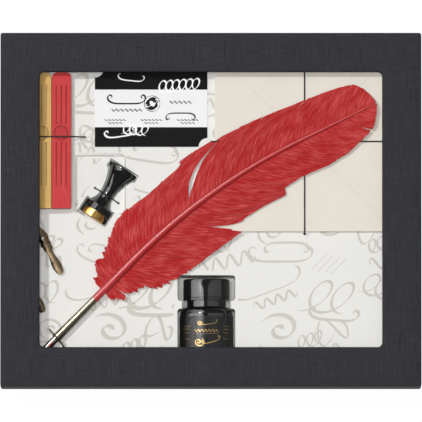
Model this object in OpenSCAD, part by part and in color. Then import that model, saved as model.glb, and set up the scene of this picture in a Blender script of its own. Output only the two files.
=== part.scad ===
// Calligraphy set in a flat gift box: a windowed lift-off lid over a base
// with a formed tray, and the pen, ink, wax and paper that the tray holds.
// Millimetres, +Z up. The origin is the middle of the face the box rests on.
// +Y is the far long side, seen from the front.

/* [Box] */
// Outer width of the closed box
box_w = 290; // [286:1:330]
// Outer length of the closed box, front to back
box_l = 244; // [241:1:280]
// Height of the closed box
box_h = 46; // [46:0.5:60]
// Thickness of the board
board_t = 2; // [1.6:0.1:2.4]
// Thickness of the covering paper
paper_t = 0.3; // [0.2:0.05:0.4]
// Depth of the lid's side walls
skirt_h = 32; // [20:1:40]
// Gap between the lid's side walls and the base
lid_fit = 0.4; // [0.2:0.05:0.8]
// Radius of the box's upright corners
corner_r = 1.6; // [1:0.1:4]
// Width of the paper turned in along the walls' rims
rim_turn = 15; // [6:1:20]
// Width of the base's paper turned under its edge
foot_turn = 12; // [6:1:20]

/* [Window] */
// Width of the lid's margin round the window
window_margin = 27; // [20:0.5:34]
// Radius of the window's corners
window_r = 3.2; // [2:0.2:10]
// Width of the paper turned in behind the window
window_turn = 12; // [6:0.5:15]
// Thickness of the window film
film_t = 0.25; // [0.15:0.05:0.4]
// How far the film reaches past the window's edge
film_lap = 10; // [4:0.5:14]
// Thickness of the lining card below the film
lining_t = 0.3; // [0.2:0.05:0.6]

/* [Tray] */
// Height of the tray's upper face above the table
platform_z = 33; // [31:0.25:34]
// Thickness of the formed sheet
tray_t = 0.8; // [0.5:0.05:1]
// Gap between the tray and the base's walls
tray_fit = 0.5; // [0.3:0.1:1]
// Width of the gap left round a piece in its well
well_fit = 1.5; // [1:0.1:2]
// Radius of the wells' corners
well_r = 2.2; // [1:0.1:4]
// Gap round a cord in its hole
hole_fit = 0.4; // [0.3:0.05:0.6]
// Length of a cord's end below the sheet
leg_l = 2.8; // [1:0.1:5]

/* [Papers] */
// Side of a square envelope
envelope_w = 124; // [110:1:126]
// Thickness of one envelope
envelope_t = 0.7; // [0.4:0.05:0.8]
// Envelopes below the uppermost one
envelope_count = 4; // [2:1:5]
// Thickness of a folded flap
flap_t = 0.12; // [0.08:0.02:0.2]
// Width of the leaflet
leaflet_w = 77.6; // [60:0.2:79]
// Length of the leaflet, front to back
leaflet_l = 53.9; // [40:0.1:56]
// Thickness of the leaflet's paper
leaflet_t = 0.2; // [0.1:0.05:0.3]
// Radius of the tray's tabs over the leaflet's corners
tab_r = 6; // [4:0.2:9]
// Width of the tabs' lips beyond the leaflet
tab_lip = 2; // [1:0.1:4]
// Diameter of the elastic cords
elastic_d = 1; // [0.8:0.05:1.2]

/* [Sealing wax] */
// Width of a wax stick
stick_w = 13.4; // [11:0.1:14]
// Length of a wax stick
stick_l = 93.9; // [80:0.1:95]
// Thickness of a wax stick
stick_t = 10; // [8:0.1:11]
// Gap between the two sticks
stick_gap = 0.4; // [0.3:0.05:1]
// Depth of the sticks' well
wax_well_depth = 5; // [3:0.1:8]
// Width of a groove in a stick
groove_w = 1; // [0.6:0.05:1.4]
// Depth of the grooves and of the round field
groove_depth = 0.7; // [0.3:0.05:1.2]
// Distance between a stick's grooves
groove_pitch = 3.4; // [2.4:0.1:4]
// Diameter of the round field on a stick
field_d = 10.6; // [8:0.1:11]
// Diameter of the black ties
tie_d = 0.9; // [0.6:0.05:1.1]

/* [Seal] */
// Length of the seal with its die
seal_l = 40.5; // [36:0.5:44]
// Width of the handle's foot
seal_foot_w = 20.2; // [19.6:0.1:22]
// Height of the handle's foot above the die's face
seal_foot_l = 9.9; // [8:0.1:11]
// Width of the handle's head
seal_head_w = 20.6; // [18:0.1:22]
// Thickness of the handle's head along its axis
seal_head_l = 3.5; // [2:0.1:5]
// Thickness of the side tabs at foot and head
seal_tab_t = 7; // [5:0.1:9]
// Diameter of the handle's waist
waist_d = 8.4; // [6:0.1:10]
// Diameter of the brass die
die_d = 18; // [15:0.1:18.6]
// Height of the brass die
die_l = 5.2; // [4:0.1:7]
// Diameter of the stud between die and handle
stud_d = 5; // [4:0.1:6]
// Thread pitch of the stud
stud_pitch = 1; // [0.75:0.25:1.25]
// Depth of the shallow well round the seal
seal_well_depth = 3; // [1:0.1:4]

/* [Pen] */
// Diameter of the steel barrel at its mouth
barrel_d = 6.5; // [6.4:0.1:7.5]
// Length of the steel barrel
barrel_l = 38.5; // [32:0.5:44]
// Diameter of the quill where it leaves the barrel
quill_d = 5.2; // [4.8:0.1:5.6]
// Diameter of the quill at the feather's end
quill_end_d = 0.6; // [0.4:0.1:1]
// Length of the quill past the barrel
quill_l = 238.5; // [225:0.5:243]
// Straight stretch of the quill before its bend
quill_lead = 36; // [20:1:60]
// Radius of the quill's bend
quill_bend_r = 424; // [390:2:600]
// Angle of the quill's bend
quill_bend = 19.4; // [10:0.1:22]
// Widest reach of the vane on the far side
vane_far_w = 31.5; // [20:0.5:33]
// Widest reach of the vane on the near side
vane_near_w = 34; // [22:0.5:36]
// Thickness of the vanes
vane_t = 0.5; // [0.4:0.05:0.8]
// Visible length of the steel nib
nib_l = 21; // [16:0.5:23]
// Length of the nib's heel inside the barrel
nib_heel_l = 8; // [5:0.5:10]
// Diameter of the steel nib's curve
nib_d = 5.4; // [5:0.1:5.6]
// Thickness of the nibs' sheet
nib_t = 0.35; // [0.2:0.05:0.5]
// Sliding clearance of the nib's heel
nib_fit = 0.12; // [0.08:0.01:0.15]
// Length of a spare nib
spare_l = 40; // [34:0.5:43]
// Width of a spare nib across its body
spare_w = 8.2; // [7:0.1:9]
// Radius of a spare nib's curve
spare_r = 5.2; // [5:0.1:7]

/* [Ink bottle] */
// Outer diameter of the bottle
bottle_d = 36.3; // [33:0.1:37]
// Length of the bottle's straight body
bottle_body_l = 37.3; // [30:0.1:38]
// Length of the bottle's shoulder
shoulder_l = 5.5; // [4:0.1:7]
// Diameter of the neck
neck_d = 26.6; // [25:0.1:28]
// Length of the neck below the cap's ring
neck_l = 4.4; // [3:0.1:6]
// Thickness of the glass
glass_t = 1.6; // [1:0.1:2.2]
// Diameter of the screwed part of the neck
finish_d = 23.2; // [20:0.1:23.5]
// Length of the screwed part of the neck
finish_l = 11.4; // [9:0.1:12]
// Height of the neck's screw ridge
ridge_h = 0.7; // [0.4:0.05:0.9]
// Diameter of the cap
cap_d = 31.8; // [30:0.1:34]
// Height of the cap without its ring
cap_l = 13; // [12.8:0.1:14]
// Thickness of the cap's end
cap_t = 1.4; // [1:0.1:1.4]
// Running clearance between the cap and the neck's ridge
cap_fit = 0.4; // [0.3:0.05:0.6]
// Screw pitch of the cap
cap_pitch = 1.8; // [1:0.1:1.8]
// Height of the tamper ring
ring_l = 1.6; // [1.2:0.1:2.4]
// Thickness of the cap's liner
liner_t = 1; // [0.6:0.1:1.2]
// Length of the label along the bottle
label_l = 32; // [20:0.5:35]
// Thickness of the label
label_t = 0.15; // [0.1:0.05:0.2]

/* [Hidden] */

round_fn = 64;
eps = 0.01;
// Gap that keeps a curved face off the flat face it lies on
seat_gap = 0.3;
// Gap between pieces that are fixed to each other
snug = 0.05;

charcoal = [0.23, 0.23, 0.25];
tray_white = [0.92, 0.92, 0.9];
cream = [0.91, 0.89, 0.84];
cord_black = [0.08, 0.08, 0.09];
steel = [0.72, 0.7, 0.66];
bronze = [0.5, 0.43, 0.33];
quill_red = [0.7, 0.18, 0.18];
gloss_black = [0.1, 0.1, 0.11];

// Levels of the lid, from its upper face down
lid_rim_z = box_h - skirt_h;
lid_in_w = box_w - 2 * (paper_t + board_t);
lid_in_l = box_l - 2 * (paper_t + board_t);
window_w = box_w - 2 * window_margin;
window_l = box_l - 2 * window_margin;
board_under_z = box_h - paper_t - board_t;
turn_under_z = board_under_z - paper_t;
film_under_z = turn_under_z - film_t;
lining_under_z = film_under_z - lining_t;

// The base fits inside the lid's turned-in paper and stops the lid at its lining
base_w = lid_in_w - 2 * (paper_t + lid_fit);
base_l = lid_in_l - 2 * (paper_t + lid_fit);
base_in_w = base_w - 2 * (paper_t + board_t);
base_in_l = base_l - 2 * (paper_t + board_t);
base_rim_z = lining_under_z;
base_floor_z = 2 * paper_t + board_t;
base_r = max(corner_r - paper_t, 0.6);

// The tray stands on the base's floor
tray_w = base_in_w - 2 * (paper_t + tray_fit);
tray_l = base_in_l - 2 * (paper_t + tray_fit);
tray_under_z = platform_z - tray_t;
leg_z = tray_under_z - leg_l;

// Gaps across the tray from its left edge: before the wax, the leaflet and the envelopes, and after them.
// Each is its least width and a share of the room that is left over.
gap_least = [5, 3.6, 2.9, 3.6];
gap_share = [8.9, 11.2, 2.1, 8.7];
wax_pair_w = 2 * stick_w + stick_gap;
wax_well_w = wax_pair_w + 2 * well_fit;
room_left = tray_w - wax_well_w - leaflet_w - envelope_w - total(gap_least);
function total(v, i = 0) = i < len(v) ? v[i] + total(v, i + 1) : 0;
function gap_across(i) = gap_least[i] + room_left * gap_share[i] / total(gap_share);
wax_well_left = gap_across(0) - tray_w / 2;
wax_well_right = wax_well_left + wax_well_w;
leaflet_left = wax_well_right + gap_across(1);
envelope_left = leaflet_left + leaflet_w + gap_across(2);

// Envelopes and cords
envelope_far_gap = 6.3;
envelope_x = envelope_left + envelope_w / 2;
envelope_y = tray_l / 2 - envelope_far_gap - envelope_w / 2;
envelope_gap = 0.04;
stack_top_z = platform_z + envelope_count * envelope_t;
envelopes_top_z = stack_top_z + envelope_t;
cord_hole_reach = envelope_w / 2 + 1.6;
cord_z = envelopes_top_z + elastic_d / 2 + 0.1;
cord_step = elastic_d + 0.1;
cord_top_z = cord_z + cord_step + elastic_d / 2;

// Sealing wax
wax_near_y = 1.4;
wax_x = wax_well_left + wax_well_w / 2;
wax_y = wax_near_y + stick_l / 2;
wax_floor_z = platform_z - wax_well_depth;
wax_top_z = wax_floor_z + stick_t;
wax_thumb_gap = 3.4;
wax_well_l = stick_l + wax_thumb_gap + well_fit;
wax_well_y = wax_y + (well_fit - wax_thumb_gap) / 2;
shoulder_r = 4;
stick_corner_r = 0.8;
field_y = 4.9;
groove_far_y = 38;
groove_near_y = -31.3;
wax_tie_y = wax_y + 2.55;
wax_hole_gap = [3, 2.5];
wax_hole_left = wax_well_left - wax_hole_gap[0];
wax_hole_right = wax_well_right + wax_hole_gap[1] + (gap_across(1) - gap_least[1]) / 2;

// Pen: the barrel's mouth is the pen's own origin and +X runs to the feather
pen_from_wax = 12.2;
pen_least_gap = 19;
pen_room_share = 0.24145;
pen_room_l = (nib_l + barrel_l + quill_l) * 2 / 3;
pen_x = wax_well_right - pen_from_wax;
pen_y = pen_least_gap + pen_room_share * (tray_l - pen_room_l) - tray_l / 2;
pen_heading = 45.5;
pen_z = platform_z + seat_gap + barrel_d / 2;
// The quill rests where it crosses both cords
pen_cross_at = norm([envelope_x - pen_x, envelope_y - pen_y]);
pen_rise = atan2(cord_top_z + seat_gap + quill_r(pen_cross_at - barrel_l) - pen_z, pen_cross_at);
mouth_d = nib_d + 2 * nib_fit;
plug_d = nib_d - 2 * nib_t - 2 * nib_fit;
plug_reach = 9;
plug_stop_l = 5;
spigot_d = quill_d - 1.4;
spigot_l = 18;
pen_tie_at = 1.1;
pen_tie_reach = 7.6;
pen_tie_heading = -50;

// Seal, lying beside the feather in its own well inside a shallow one
seal_from_pen = [25.1, 84.2];
seal_x = pen_x + seal_from_pen[0];
seal_y = pen_y + seal_from_pen[1];
seal_heading = 56.9;
seal_far_y = seal_y + seal_l * sin(seal_heading) + seal_head_w / 2 * cos(seal_heading);
seal_well_floor_z = platform_z - seal_well_depth;
seal_pocket_floor_z = 21;
seal_z = seal_pocket_floor_z + seat_gap + die_d / 2;
seal_well_x = seal_x + 4.6;
seal_well_y = seal_y + 23.3;
seal_well_w = 35;
seal_well_l = 39.8;
seal_waist_at = 18;
seal_neck_d = 16;
seal_head_d = 18.6;
seal_pocket_fit = 1.2;
die_gap = 0.3;
stud_l = 9;
stud_start = 2.4;
seal_tie_at = seal_waist_at + 0.4;
seal_tie_reach = 9.6;

// Leaflet, between the seal's head and the tray's far edge
leaflet_near_gap = 2.5;
leaflet_far_gap = 3;
leaflet_room_share = 0.314;
leaflet_room = tray_l / 2 - seal_far_y - leaflet_l - leaflet_near_gap - leaflet_far_gap;
leaflet_x = leaflet_left + leaflet_w / 2;
leaflet_y = seal_far_y + leaflet_near_gap + leaflet_room_share * leaflet_room + leaflet_l / 2;
leaflet_gap = 0.2;
leaflet_top_z = platform_z + 2 * leaflet_t + leaflet_gap;
tab_t = 0.4;

// Vane reach along the quill, as shares of its length and of the widest reach
far_reach = [[0.025, 0.14], [0.06, 0.48], [0.13, 0.63], [0.2, 0.88], [0.25, 0.96], [0.4, 1], [0.49, 0.99],
    [0.54, 0.91], [0.62, 0.86], [0.74, 0.79], [0.86, 0.78], [0.92, 0.72], [0.97, 0.57], [0.99, 0.36], [1, 0.02]];
near_reach = [[0.025, 0.12], [0.06, 0.4], [0.1, 0.47], [0.17, 0.84], [0.22, 0.95], [0.36, 0.97], [0.46, 1],
    [0.48, 0.87], [0.58, 0.91], [0.67, 0.79], [0.84, 0.71], [0.93, 0.61], [0.97, 0.39], [0.99, 0.23], [1, 0.02]];
vane_steps = 60;
quill_steps = 34;

// Spare nibs, placed from the tray's left edge and from the wax
spare_from_corner = [[35.7, -45.2], [23.4, -71.6]];
spare_heel = [for (p = spare_from_corner) [p[0] - tray_w / 2, p[1] + wax_near_y]];
spare_heading = 117.1;
// Their curve's axis, below the platform, so that the body's edges lie on it
spare_axis_z = platform_z + seat_gap - sqrt(pow(spare_r - nib_t, 2) - pow(spare_w / 2, 2));

// Ink bottle, lying with its cap towards +Y
bottle_x = -3.1;
pocket_edge_gap = 1;
pocket_foot_gap = 5.2;
bottle_foot_y = tray_t + pocket_edge_gap + pocket_foot_gap - tray_l / 2;
bottle_floor_z = base_floor_z + tray_t;
bottle_z = bottle_floor_z + seat_gap + bottle_d / 2 + label_t;
neck_at = bottle_body_l + shoulder_l;
ring_at = neck_at + neck_l;
ring_gap = 0.15;
cap_at = ring_at + ring_l + ring_gap;
finish_end = cap_at + cap_l - cap_t - liner_t - snug;
finish_start = finish_end - finish_l;
cap_bore_d = finish_d + 2 * (ridge_h + cap_fit);
ring_bore_d = neck_d + 0.4;
label_at = 4;
pocket_fit = 1.8;
pocket_end_gap = cap_pitch + 0.6;
pocket_cap_w = cap_d + 8;

// Solid with a rounded rectangular outline, centred on the origin
module block(w, l, r, z0, z1) {
    translate([0, 0, z0])
        linear_extrude(z1 - z0)
            rounded_rect(w, l, r);
}

module rounded_rect(w, l, r) {
    square([w - 2 * r, l], center = true);
    square([w, l - 2 * r], center = true);
    for (x = [-1, 1], y = [-1, 1])
        translate([x * (w / 2 - r), y * (l / 2 - r)])
            circle(r, $fn = round_fn);
}

// Band of width t just inside a rounded rectangular outline
module band(w, l, r, t, z0, z1) {
    difference() {
        block(w, l, r, z0, z1);
        block(w - 2 * t, l - 2 * t, max(r - t, 0.3), z0 - 1, z1 + 1);
    }
}

// Route through corner points, each corner drawn as a curve that starts r before it
function unit(v) = v / norm(v);
function corner(a, b, c, r, n) =
    let (p = b + r * unit(a - b), q = b + r * unit(c - b))
    [for (i = [0:n]) let (t = i / n) (1 - t) * (1 - t) * p + 2 * t * (1 - t) * b + t * t * q];
function route(pts, r, n = 5) = [
    pts[0],
    for (i = [1:len(pts) - 2]) each corner(pts[i - 1], pts[i], pts[i + 1], r, n),
    pts[len(pts) - 1]
];

// Direction of a flat path at one of its points
function path_angle(path, i) =
    let (a = path[max(i - 1, 0)], b = path[min(i + 1, len(path) - 1)])
    atan2(b[1] - a[1], b[0] - a[0]);

// Tube along a path in the XY plane, with a radius for each point
module flat_tube(path, radii, sides) {
    count = len(path);
    rings = [
        for (i = [0:count - 1], k = [0:sides - 1])
            let (a = path_angle(path, i), f = 360 * k / sides, r = radii[i])
            [path[i][0] - r * cos(f) * sin(a), path[i][1] + r * cos(f) * cos(a), r * sin(f)]
    ];
    walls = [
        for (i = [0:count - 2], k = [0:sides - 1])
            let (a = i * sides + k, b = i * sides + (k + 1) % sides)
            each [[a, b, b + sides], [a, b + sides, a + sides]]
    ];
    start = [[for (k = [0:sides - 1]) sides - 1 - k]];
    finish = [[for (k = [0:sides - 1]) (count - 1) * sides + k]];
    polyhedron(rings, concat(walls, start, finish));
}

// Cord in an upright plane: its path gives distance along a heading and height
module upright_cord(path, d, heading) {
    rotate([90, 0, heading])
        flat_tube(path, [for (p = path) d / 2], 8);
}

// Route of a tie from hole to hole over a round bar of the given radius
function tie_over_round(reach, leg_low, leg_high, bar_z, bar_r) =
    let (
        r = bar_r + tie_d / 2 + 0.12,
        rise = leg_high - bar_z,
        far = norm([reach, rise]),
        touch = atan2(rise, reach) + acos(r / far),
        steps = 8
    )
    concat(
        route([[-reach, leg_low], [-reach, leg_high], [-r * cos(touch), bar_z + r * sin(touch)]], 0.9),
        [for (i = [1:steps - 1]) let (a = 180 - touch - i * (180 - 2 * touch) / steps)
            [r * cos(a), bar_z + r * sin(a)]],
        route([[r * cos(touch), bar_z + r * sin(touch)], [reach, leg_high], [reach, leg_low]], 0.9)
    );

// Base

module base_bottom_sheet() {
    inset = 2;
    color(charcoal)
        block(base_w - 2 * inset, base_l - 2 * inset, base_r, 0, paper_t);
}

module base_board() {
    color([0.55, 0.54, 0.52])
        difference() {
            block(base_w - 2 * paper_t, base_l - 2 * paper_t, base_r, 2 * paper_t, base_rim_z - paper_t);
            block(base_in_w, base_in_l, 0.5, base_floor_z, box_h);
        }
}

module base_side_wrap() {
    color(charcoal)
        union() {
            band(base_w, base_l, base_r, paper_t, paper_t, base_rim_z);
            band(base_w, base_l, base_r, foot_turn, paper_t, 2 * paper_t);
            band(base_w, base_l, base_r, 2 * paper_t + board_t, base_rim_z - paper_t, base_rim_z);
            band(base_in_w, base_in_l, 0.5, paper_t, base_rim_z - rim_turn, base_rim_z);
        }
}

// Lid

module lid_board() {
    color([0.55, 0.54, 0.52])
        difference() {
            block(box_w - 2 * paper_t, box_l - 2 * paper_t, corner_r - paper_t,
                lid_rim_z + paper_t, box_h - paper_t);
            block(lid_in_w, lid_in_l, 0.5, lid_rim_z, board_under_z);
            block(window_w + 2 * paper_t, window_l + 2 * paper_t, window_r + paper_t, lid_rim_z, box_h);
        }
}

module lid_wrap() {
    window_lap = window_turn + paper_t;
    color(charcoal)
        union() {
            band(box_w, box_l, corner_r, paper_t, lid_rim_z, box_h);
            band(box_w, box_l, corner_r, 2 * paper_t + board_t, lid_rim_z, lid_rim_z + paper_t);
            band(lid_in_w, lid_in_l, 0.5, paper_t, lid_rim_z, lid_rim_z + rim_turn);
            difference() {
                block(box_w, box_l, corner_r, box_h - paper_t, box_h);
                block(window_w, window_l, window_r, box_h - 1, box_h + 1);
            }
            band(window_w + 2 * paper_t, window_l + 2 * paper_t, window_r + paper_t, paper_t,
                turn_under_z, box_h);
            band(window_w + 2 * window_lap, window_l + 2 * window_lap, window_r + window_lap,
                window_lap, turn_under_z, board_under_z);
        }
}

module window_film() {
    color([0.85, 0.88, 0.9, 0.2])
        block(window_w + 2 * film_lap, window_l + 2 * film_lap, window_r + film_lap,
            film_under_z, turn_under_z);
}

module lid_lining() {
    edge_gap = 1;
    side_gap = 0.2;
    step_w = 2 * (window_turn + paper_t + side_gap);
    lining_w = lid_in_w - 2 * side_gap;
    lining_l = lid_in_l - 2 * side_gap;
    color([0.2, 0.2, 0.22])
        difference() {
            block(lining_w, lining_l, 0.5, lining_under_z, board_under_z);
            block(window_w + step_w, window_l + step_w, window_r + step_w / 2, film_under_z, box_h);
            block(window_w + 2 * edge_gap, window_l + 2 * edge_gap, window_r + edge_gap,
                lining_under_z - 1, box_h);
        }
}

// Tray

module insert_tray() {
    color(tray_white)
        difference() {
            union() {
                band(tray_w, tray_l, 1.5, tray_t, base_floor_z, platform_z);
                block(tray_w, tray_l, 1.5, tray_under_z, platform_z);
                wells(tray_t);
                leaflet_tabs();
            }
            wells(0);
            tie_holes();
        }
}

// All wells: with a wall thickness they are the outer skins, with none the hollows
module wells(wall) {
    wax_well(wall);
    seal_well(wall);
    seal_pocket(wall);
    bottle_pocket(wall);
}

// A hollow runs on above the platform, a skin ends at it
function well_top(wall) = wall > 0 ? platform_z : platform_z + 5;

module wax_well(wall) {
    translate([wax_x, wax_well_y, 0])
        block(wax_well_w + 2 * wall, wax_well_l + 2 * wall, well_r + wall,
            wax_floor_z - wall, well_top(wall));
}

module seal_well(wall) {
    translate([seal_well_x, seal_well_y, 0])
        block(seal_well_w + 2 * wall, seal_well_l + 2 * wall, well_r + wall,
            seal_well_floor_z - wall, well_top(wall));
}

// The seal's pocket follows its outline, so the waist keeps a shelf on both sides
module seal_pocket(wall) {
    grow = seal_pocket_fit + wall;
    low = -grow - stud_pitch;
    high = seal_l + grow;
    half_foot = seal_foot_w / 2 + grow;
    half_head = seal_head_w / 2 + grow;
    curve = [for (a = [seal_foot_l + grow:2:seal_l - seal_head_l - grow]) [a, seal_r(a) + grow]];
    side = concat(
        [[low, half_foot], [seal_foot_l + grow, half_foot]],
        curve,
        [[seal_l - seal_head_l - grow, half_head], [high, half_head]]
    );
    other = [for (i = [len(side) - 1:-1:0]) [side[i][0], -side[i][1]]];
    translate([seal_x, seal_y, seal_pocket_floor_z - wall])
        rotate(seal_heading)
            linear_extrude(well_top(wall) - seal_pocket_floor_z + wall)
                polygon(concat(side, other));
}

// The bottle's pocket is pinched at the neck and leaves a finger gap at the foot
module bottle_pocket(wall) {
    body_w = bottle_d + 2 * pocket_fit;
    neck_w = neck_d + 7;
    foot = bottle_foot_y - pocket_foot_gap;
    pinch_near = bottle_foot_y + neck_at - 1.5;
    pinch_far = bottle_foot_y + ring_at - 0.6;
    end = bottle_foot_y + cap_at + cap_l + pocket_end_gap;
    z0 = bottle_floor_z - wall;
    translate([bottle_x, 0, 0]) {
        translate([0, (foot + pinch_near) / 2, 0])
            block(body_w + 2 * wall, pinch_near - foot + 2 * wall, well_r + wall, z0, well_top(wall));
        translate([0, (pinch_far + end) / 2, 0])
            block(pocket_cap_w + 2 * wall, end - pinch_far + 2 * wall, well_r + wall, z0, well_top(wall));
        translate([0, (foot + end) / 2, 0])
            block(neck_w + 2 * wall, end - foot + 2 * wall - 8, 0.5, z0, well_top(wall));
    }
}

// Tabs of the tray that hold two corners of the leaflet, each with a lip beyond the paper
module leaflet_tabs() {
    paper_z = leaflet_top_z + snug;
    for (turn = [0, 180])
        translate([leaflet_x, leaflet_y, 0])
            rotate(turn)
                translate([leaflet_w / 2, -leaflet_l / 2, 0])
                    difference() {
                        intersection() {
                            translate([0, 0, tray_under_z])
                                cylinder(r = tab_r, h = paper_z + tab_t - tray_under_z, $fn = round_fn);
                            translate([-tab_r, -tab_lip, tray_under_z])
                                cube([tab_r + tab_lip, tab_r + tab_lip, box_h]);
                        }
                        translate([-tab_r - 1, -snug, platform_z])
                            cube([tab_r + 1 + snug, tab_r + 2, paper_z - platform_z]);
                    }
}

module tie_holes() {
    cord_hole_d = elastic_d + 2 * hole_fit;
    tie_hole_d = tie_d + 2 * hole_fit;
    for (s = [-1, 1]) {
        translate([envelope_x + s * cord_hole_reach, envelope_y, 0])
            hole(cord_hole_d);
        translate([envelope_x, envelope_y + s * cord_hole_reach, 0])
            hole(cord_hole_d);
        translate([seal_x, seal_y, 0])
            rotate(seal_heading)
                translate([seal_tie_at, s * seal_tie_reach, 0])
                    hole(tie_hole_d);
        translate([pen_x + pen_tie_at * cos(pen_heading), pen_y + pen_tie_at * sin(pen_heading), 0])
            rotate(pen_tie_heading)
                translate([s * pen_tie_reach, 0, 0])
                    hole(tie_hole_d);
    }
    for (x = [wax_hole_left, wax_hole_right])
        translate([x, wax_tie_y, 0])
            hole(tie_hole_d);
}

module hole(d) {
    translate([0, 0, seal_pocket_floor_z + 2])
        cylinder(d = d, h = box_h, $fn = 32);
}

// Leaflet and envelopes

// Folded once along its far edge
module leaflet() {
    thick = 2 * leaflet_t + leaflet_gap;
    color([0.12, 0.12, 0.12])
        translate([leaflet_x - leaflet_w / 2, leaflet_y - leaflet_l / 2, platform_z])
            difference() {
                cube([leaflet_w, leaflet_l, thick]);
                translate([-1, -1, leaflet_t])
                    cube([leaflet_w + 2, leaflet_l + 1 - leaflet_t, leaflet_gap]);
            }
}

module envelope_sheet(z0, z1) {
    translate([envelope_x, envelope_y, 0])
        block(envelope_w, envelope_w, 0.5, z0, z1);
}

module envelope_stack() {
    color(cream)
        for (i = [0:envelope_count - 1])
            envelope_sheet(platform_z + i * envelope_t, platform_z + (i + 1) * envelope_t - envelope_gap);
}

// Pocket with its near, side and far flaps folded over each other
module top_envelope() {
    half = envelope_w / 2;
    near_apex = 0.73 * envelope_w;
    far_apex = 0.67 * envelope_w;
    side_apex = 0.46 * envelope_w;
    inset = 0.4;
    top = envelope_t - envelope_gap;
    color(cream)
        union() {
            envelope_sheet(stack_top_z, stack_top_z + top - 2 * flap_t);
            translate([envelope_x, envelope_y, stack_top_z + top - 2 * flap_t - eps]) {
                linear_extrude(flap_t + eps) {
                    polygon([[-half, -half], [half, -half], [3, near_apex - half], [-3, near_apex - half]]);
                    polygon([[-half, -half], [-half, half], [side_apex - half, 3], [side_apex - half, -3]]);
                    polygon([[half, half], [half, -half], [half - side_apex, -3], [half - side_apex, 3]]);
                }
                linear_extrude(2 * flap_t + eps)
                    polygon([[-half + inset, half], [half - inset, half], [3, half - far_apex],
                        [-3, half - far_apex]]);
            }
        }
}

// Elastic cords, each from a hole up over the envelopes and down to a hole
module cord_across() {
    path = route([[-cord_hole_reach, leg_z], [-cord_hole_reach, cord_z],
        [cord_hole_reach, cord_z], [cord_hole_reach, leg_z]], 1.2);
    color(cord_black)
        translate([envelope_x, envelope_y, 0])
            upright_cord(path, elastic_d, 0);
}

module cord_along() {
    high = cord_z + cord_step;
    path = route([[-cord_hole_reach, leg_z], [-cord_hole_reach, cord_z], [-5, cord_z], [-2, high],
        [2, high], [5, cord_z], [cord_hole_reach, cord_z], [cord_hole_reach, leg_z]], 1.2);
    color(cord_black)
        translate([envelope_x, envelope_y, 0])
            upright_cord(path, elastic_d, 90);
}

// Sealing wax

// Shouldered at the far end, with three grooves above and below a round field
module wax_stick() {
    half_w = stick_w / 2;
    half_l = stick_l / 2;
    field_gap = field_d / 2 + 0.8;
    stick_y = [groove_near_y, groove_far_y];
    difference() {
        linear_extrude(stick_t) {
            translate([-half_w + shoulder_r, half_l - shoulder_r - 1])
                square([stick_w - 2 * shoulder_r, shoulder_r + 1]);
            translate([-half_w, -half_l + stick_corner_r])
                square([stick_w, stick_l - stick_corner_r - shoulder_r]);
            translate([-half_w + stick_corner_r, -half_l])
                square([stick_w - 2 * stick_corner_r, 2]);
            for (s = [-1, 1]) {
                translate([s * (half_w - shoulder_r), half_l - shoulder_r])
                    circle(shoulder_r, $fn = round_fn);
                translate([s * (half_w - stick_corner_r), -half_l + stick_corner_r])
                    circle(stick_corner_r, $fn = round_fn);
            }
        }
        translate([0, field_y, stick_t - groove_depth])
            cylinder(d = field_d, h = stick_t, $fn = round_fn);
        for (i = [-1:1]) {
            translate([i * groove_pitch, 0, 0])
                groove(field_y + field_gap, stick_y[1]);
            translate([i * groove_pitch, 0, 0])
                groove(stick_y[0], field_y - field_gap);
        }
    }
    translate([0, field_y, stick_t - groove_depth - 0.2])
        cylinder(d = field_d - 2.4, h = groove_depth - 0.1, $fn = round_fn);
}

module groove(y0, y1) {
    translate([-groove_w / 2, y0, stick_t - groove_depth])
        cube([groove_w, y1 - y0, stick_t]);
}

module wax_stick_gold() {
    color([0.72, 0.6, 0.36])
        translate([wax_x - (stick_w + stick_gap) / 2, wax_y, wax_floor_z])
            wax_stick();
}

module wax_stick_red() {
    color([0.81, 0.31, 0.31])
        translate([wax_x + (stick_w + stick_gap) / 2, wax_y, wax_floor_z])
            wax_stick();
}

module wax_tie() {
    over_z = wax_top_z + tie_d / 2 + 0.15;
    leg_high = platform_z + 0.6;
    left = wax_x - wax_pair_w / 2 - 0.5;
    right = wax_x + wax_pair_w / 2 + 0.5;
    path = route([[wax_hole_left, leg_z], [wax_hole_left, leg_high], [left, over_z],
        [right, over_z], [wax_hole_right, leg_high], [wax_hole_right, leg_z]], 0.8);
    color(cord_black)
        translate([0, wax_tie_y, 0])
            upright_cord(path, tie_d, 0);
}

// Seal: its own +X runs from the die's face to the head

module seal_place() {
    translate([seal_x, seal_y, seal_z])
        rotate(seal_heading)
            children();
}

// Radius of the turned handle between foot and head, narrowest at the waist
function seal_r(a) =
    let (
        foot_share = max(seal_waist_at - a, 0) / (seal_waist_at - seal_foot_l),
        head_share = max(a - seal_waist_at, 0) / (seal_l - seal_head_l - seal_waist_at)
    )
    waist_d / 2 + (seal_neck_d - waist_d) / 2 * pow(foot_share, 2)
        + (seal_head_d - waist_d) / 2 * pow(head_share, 2);

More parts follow.
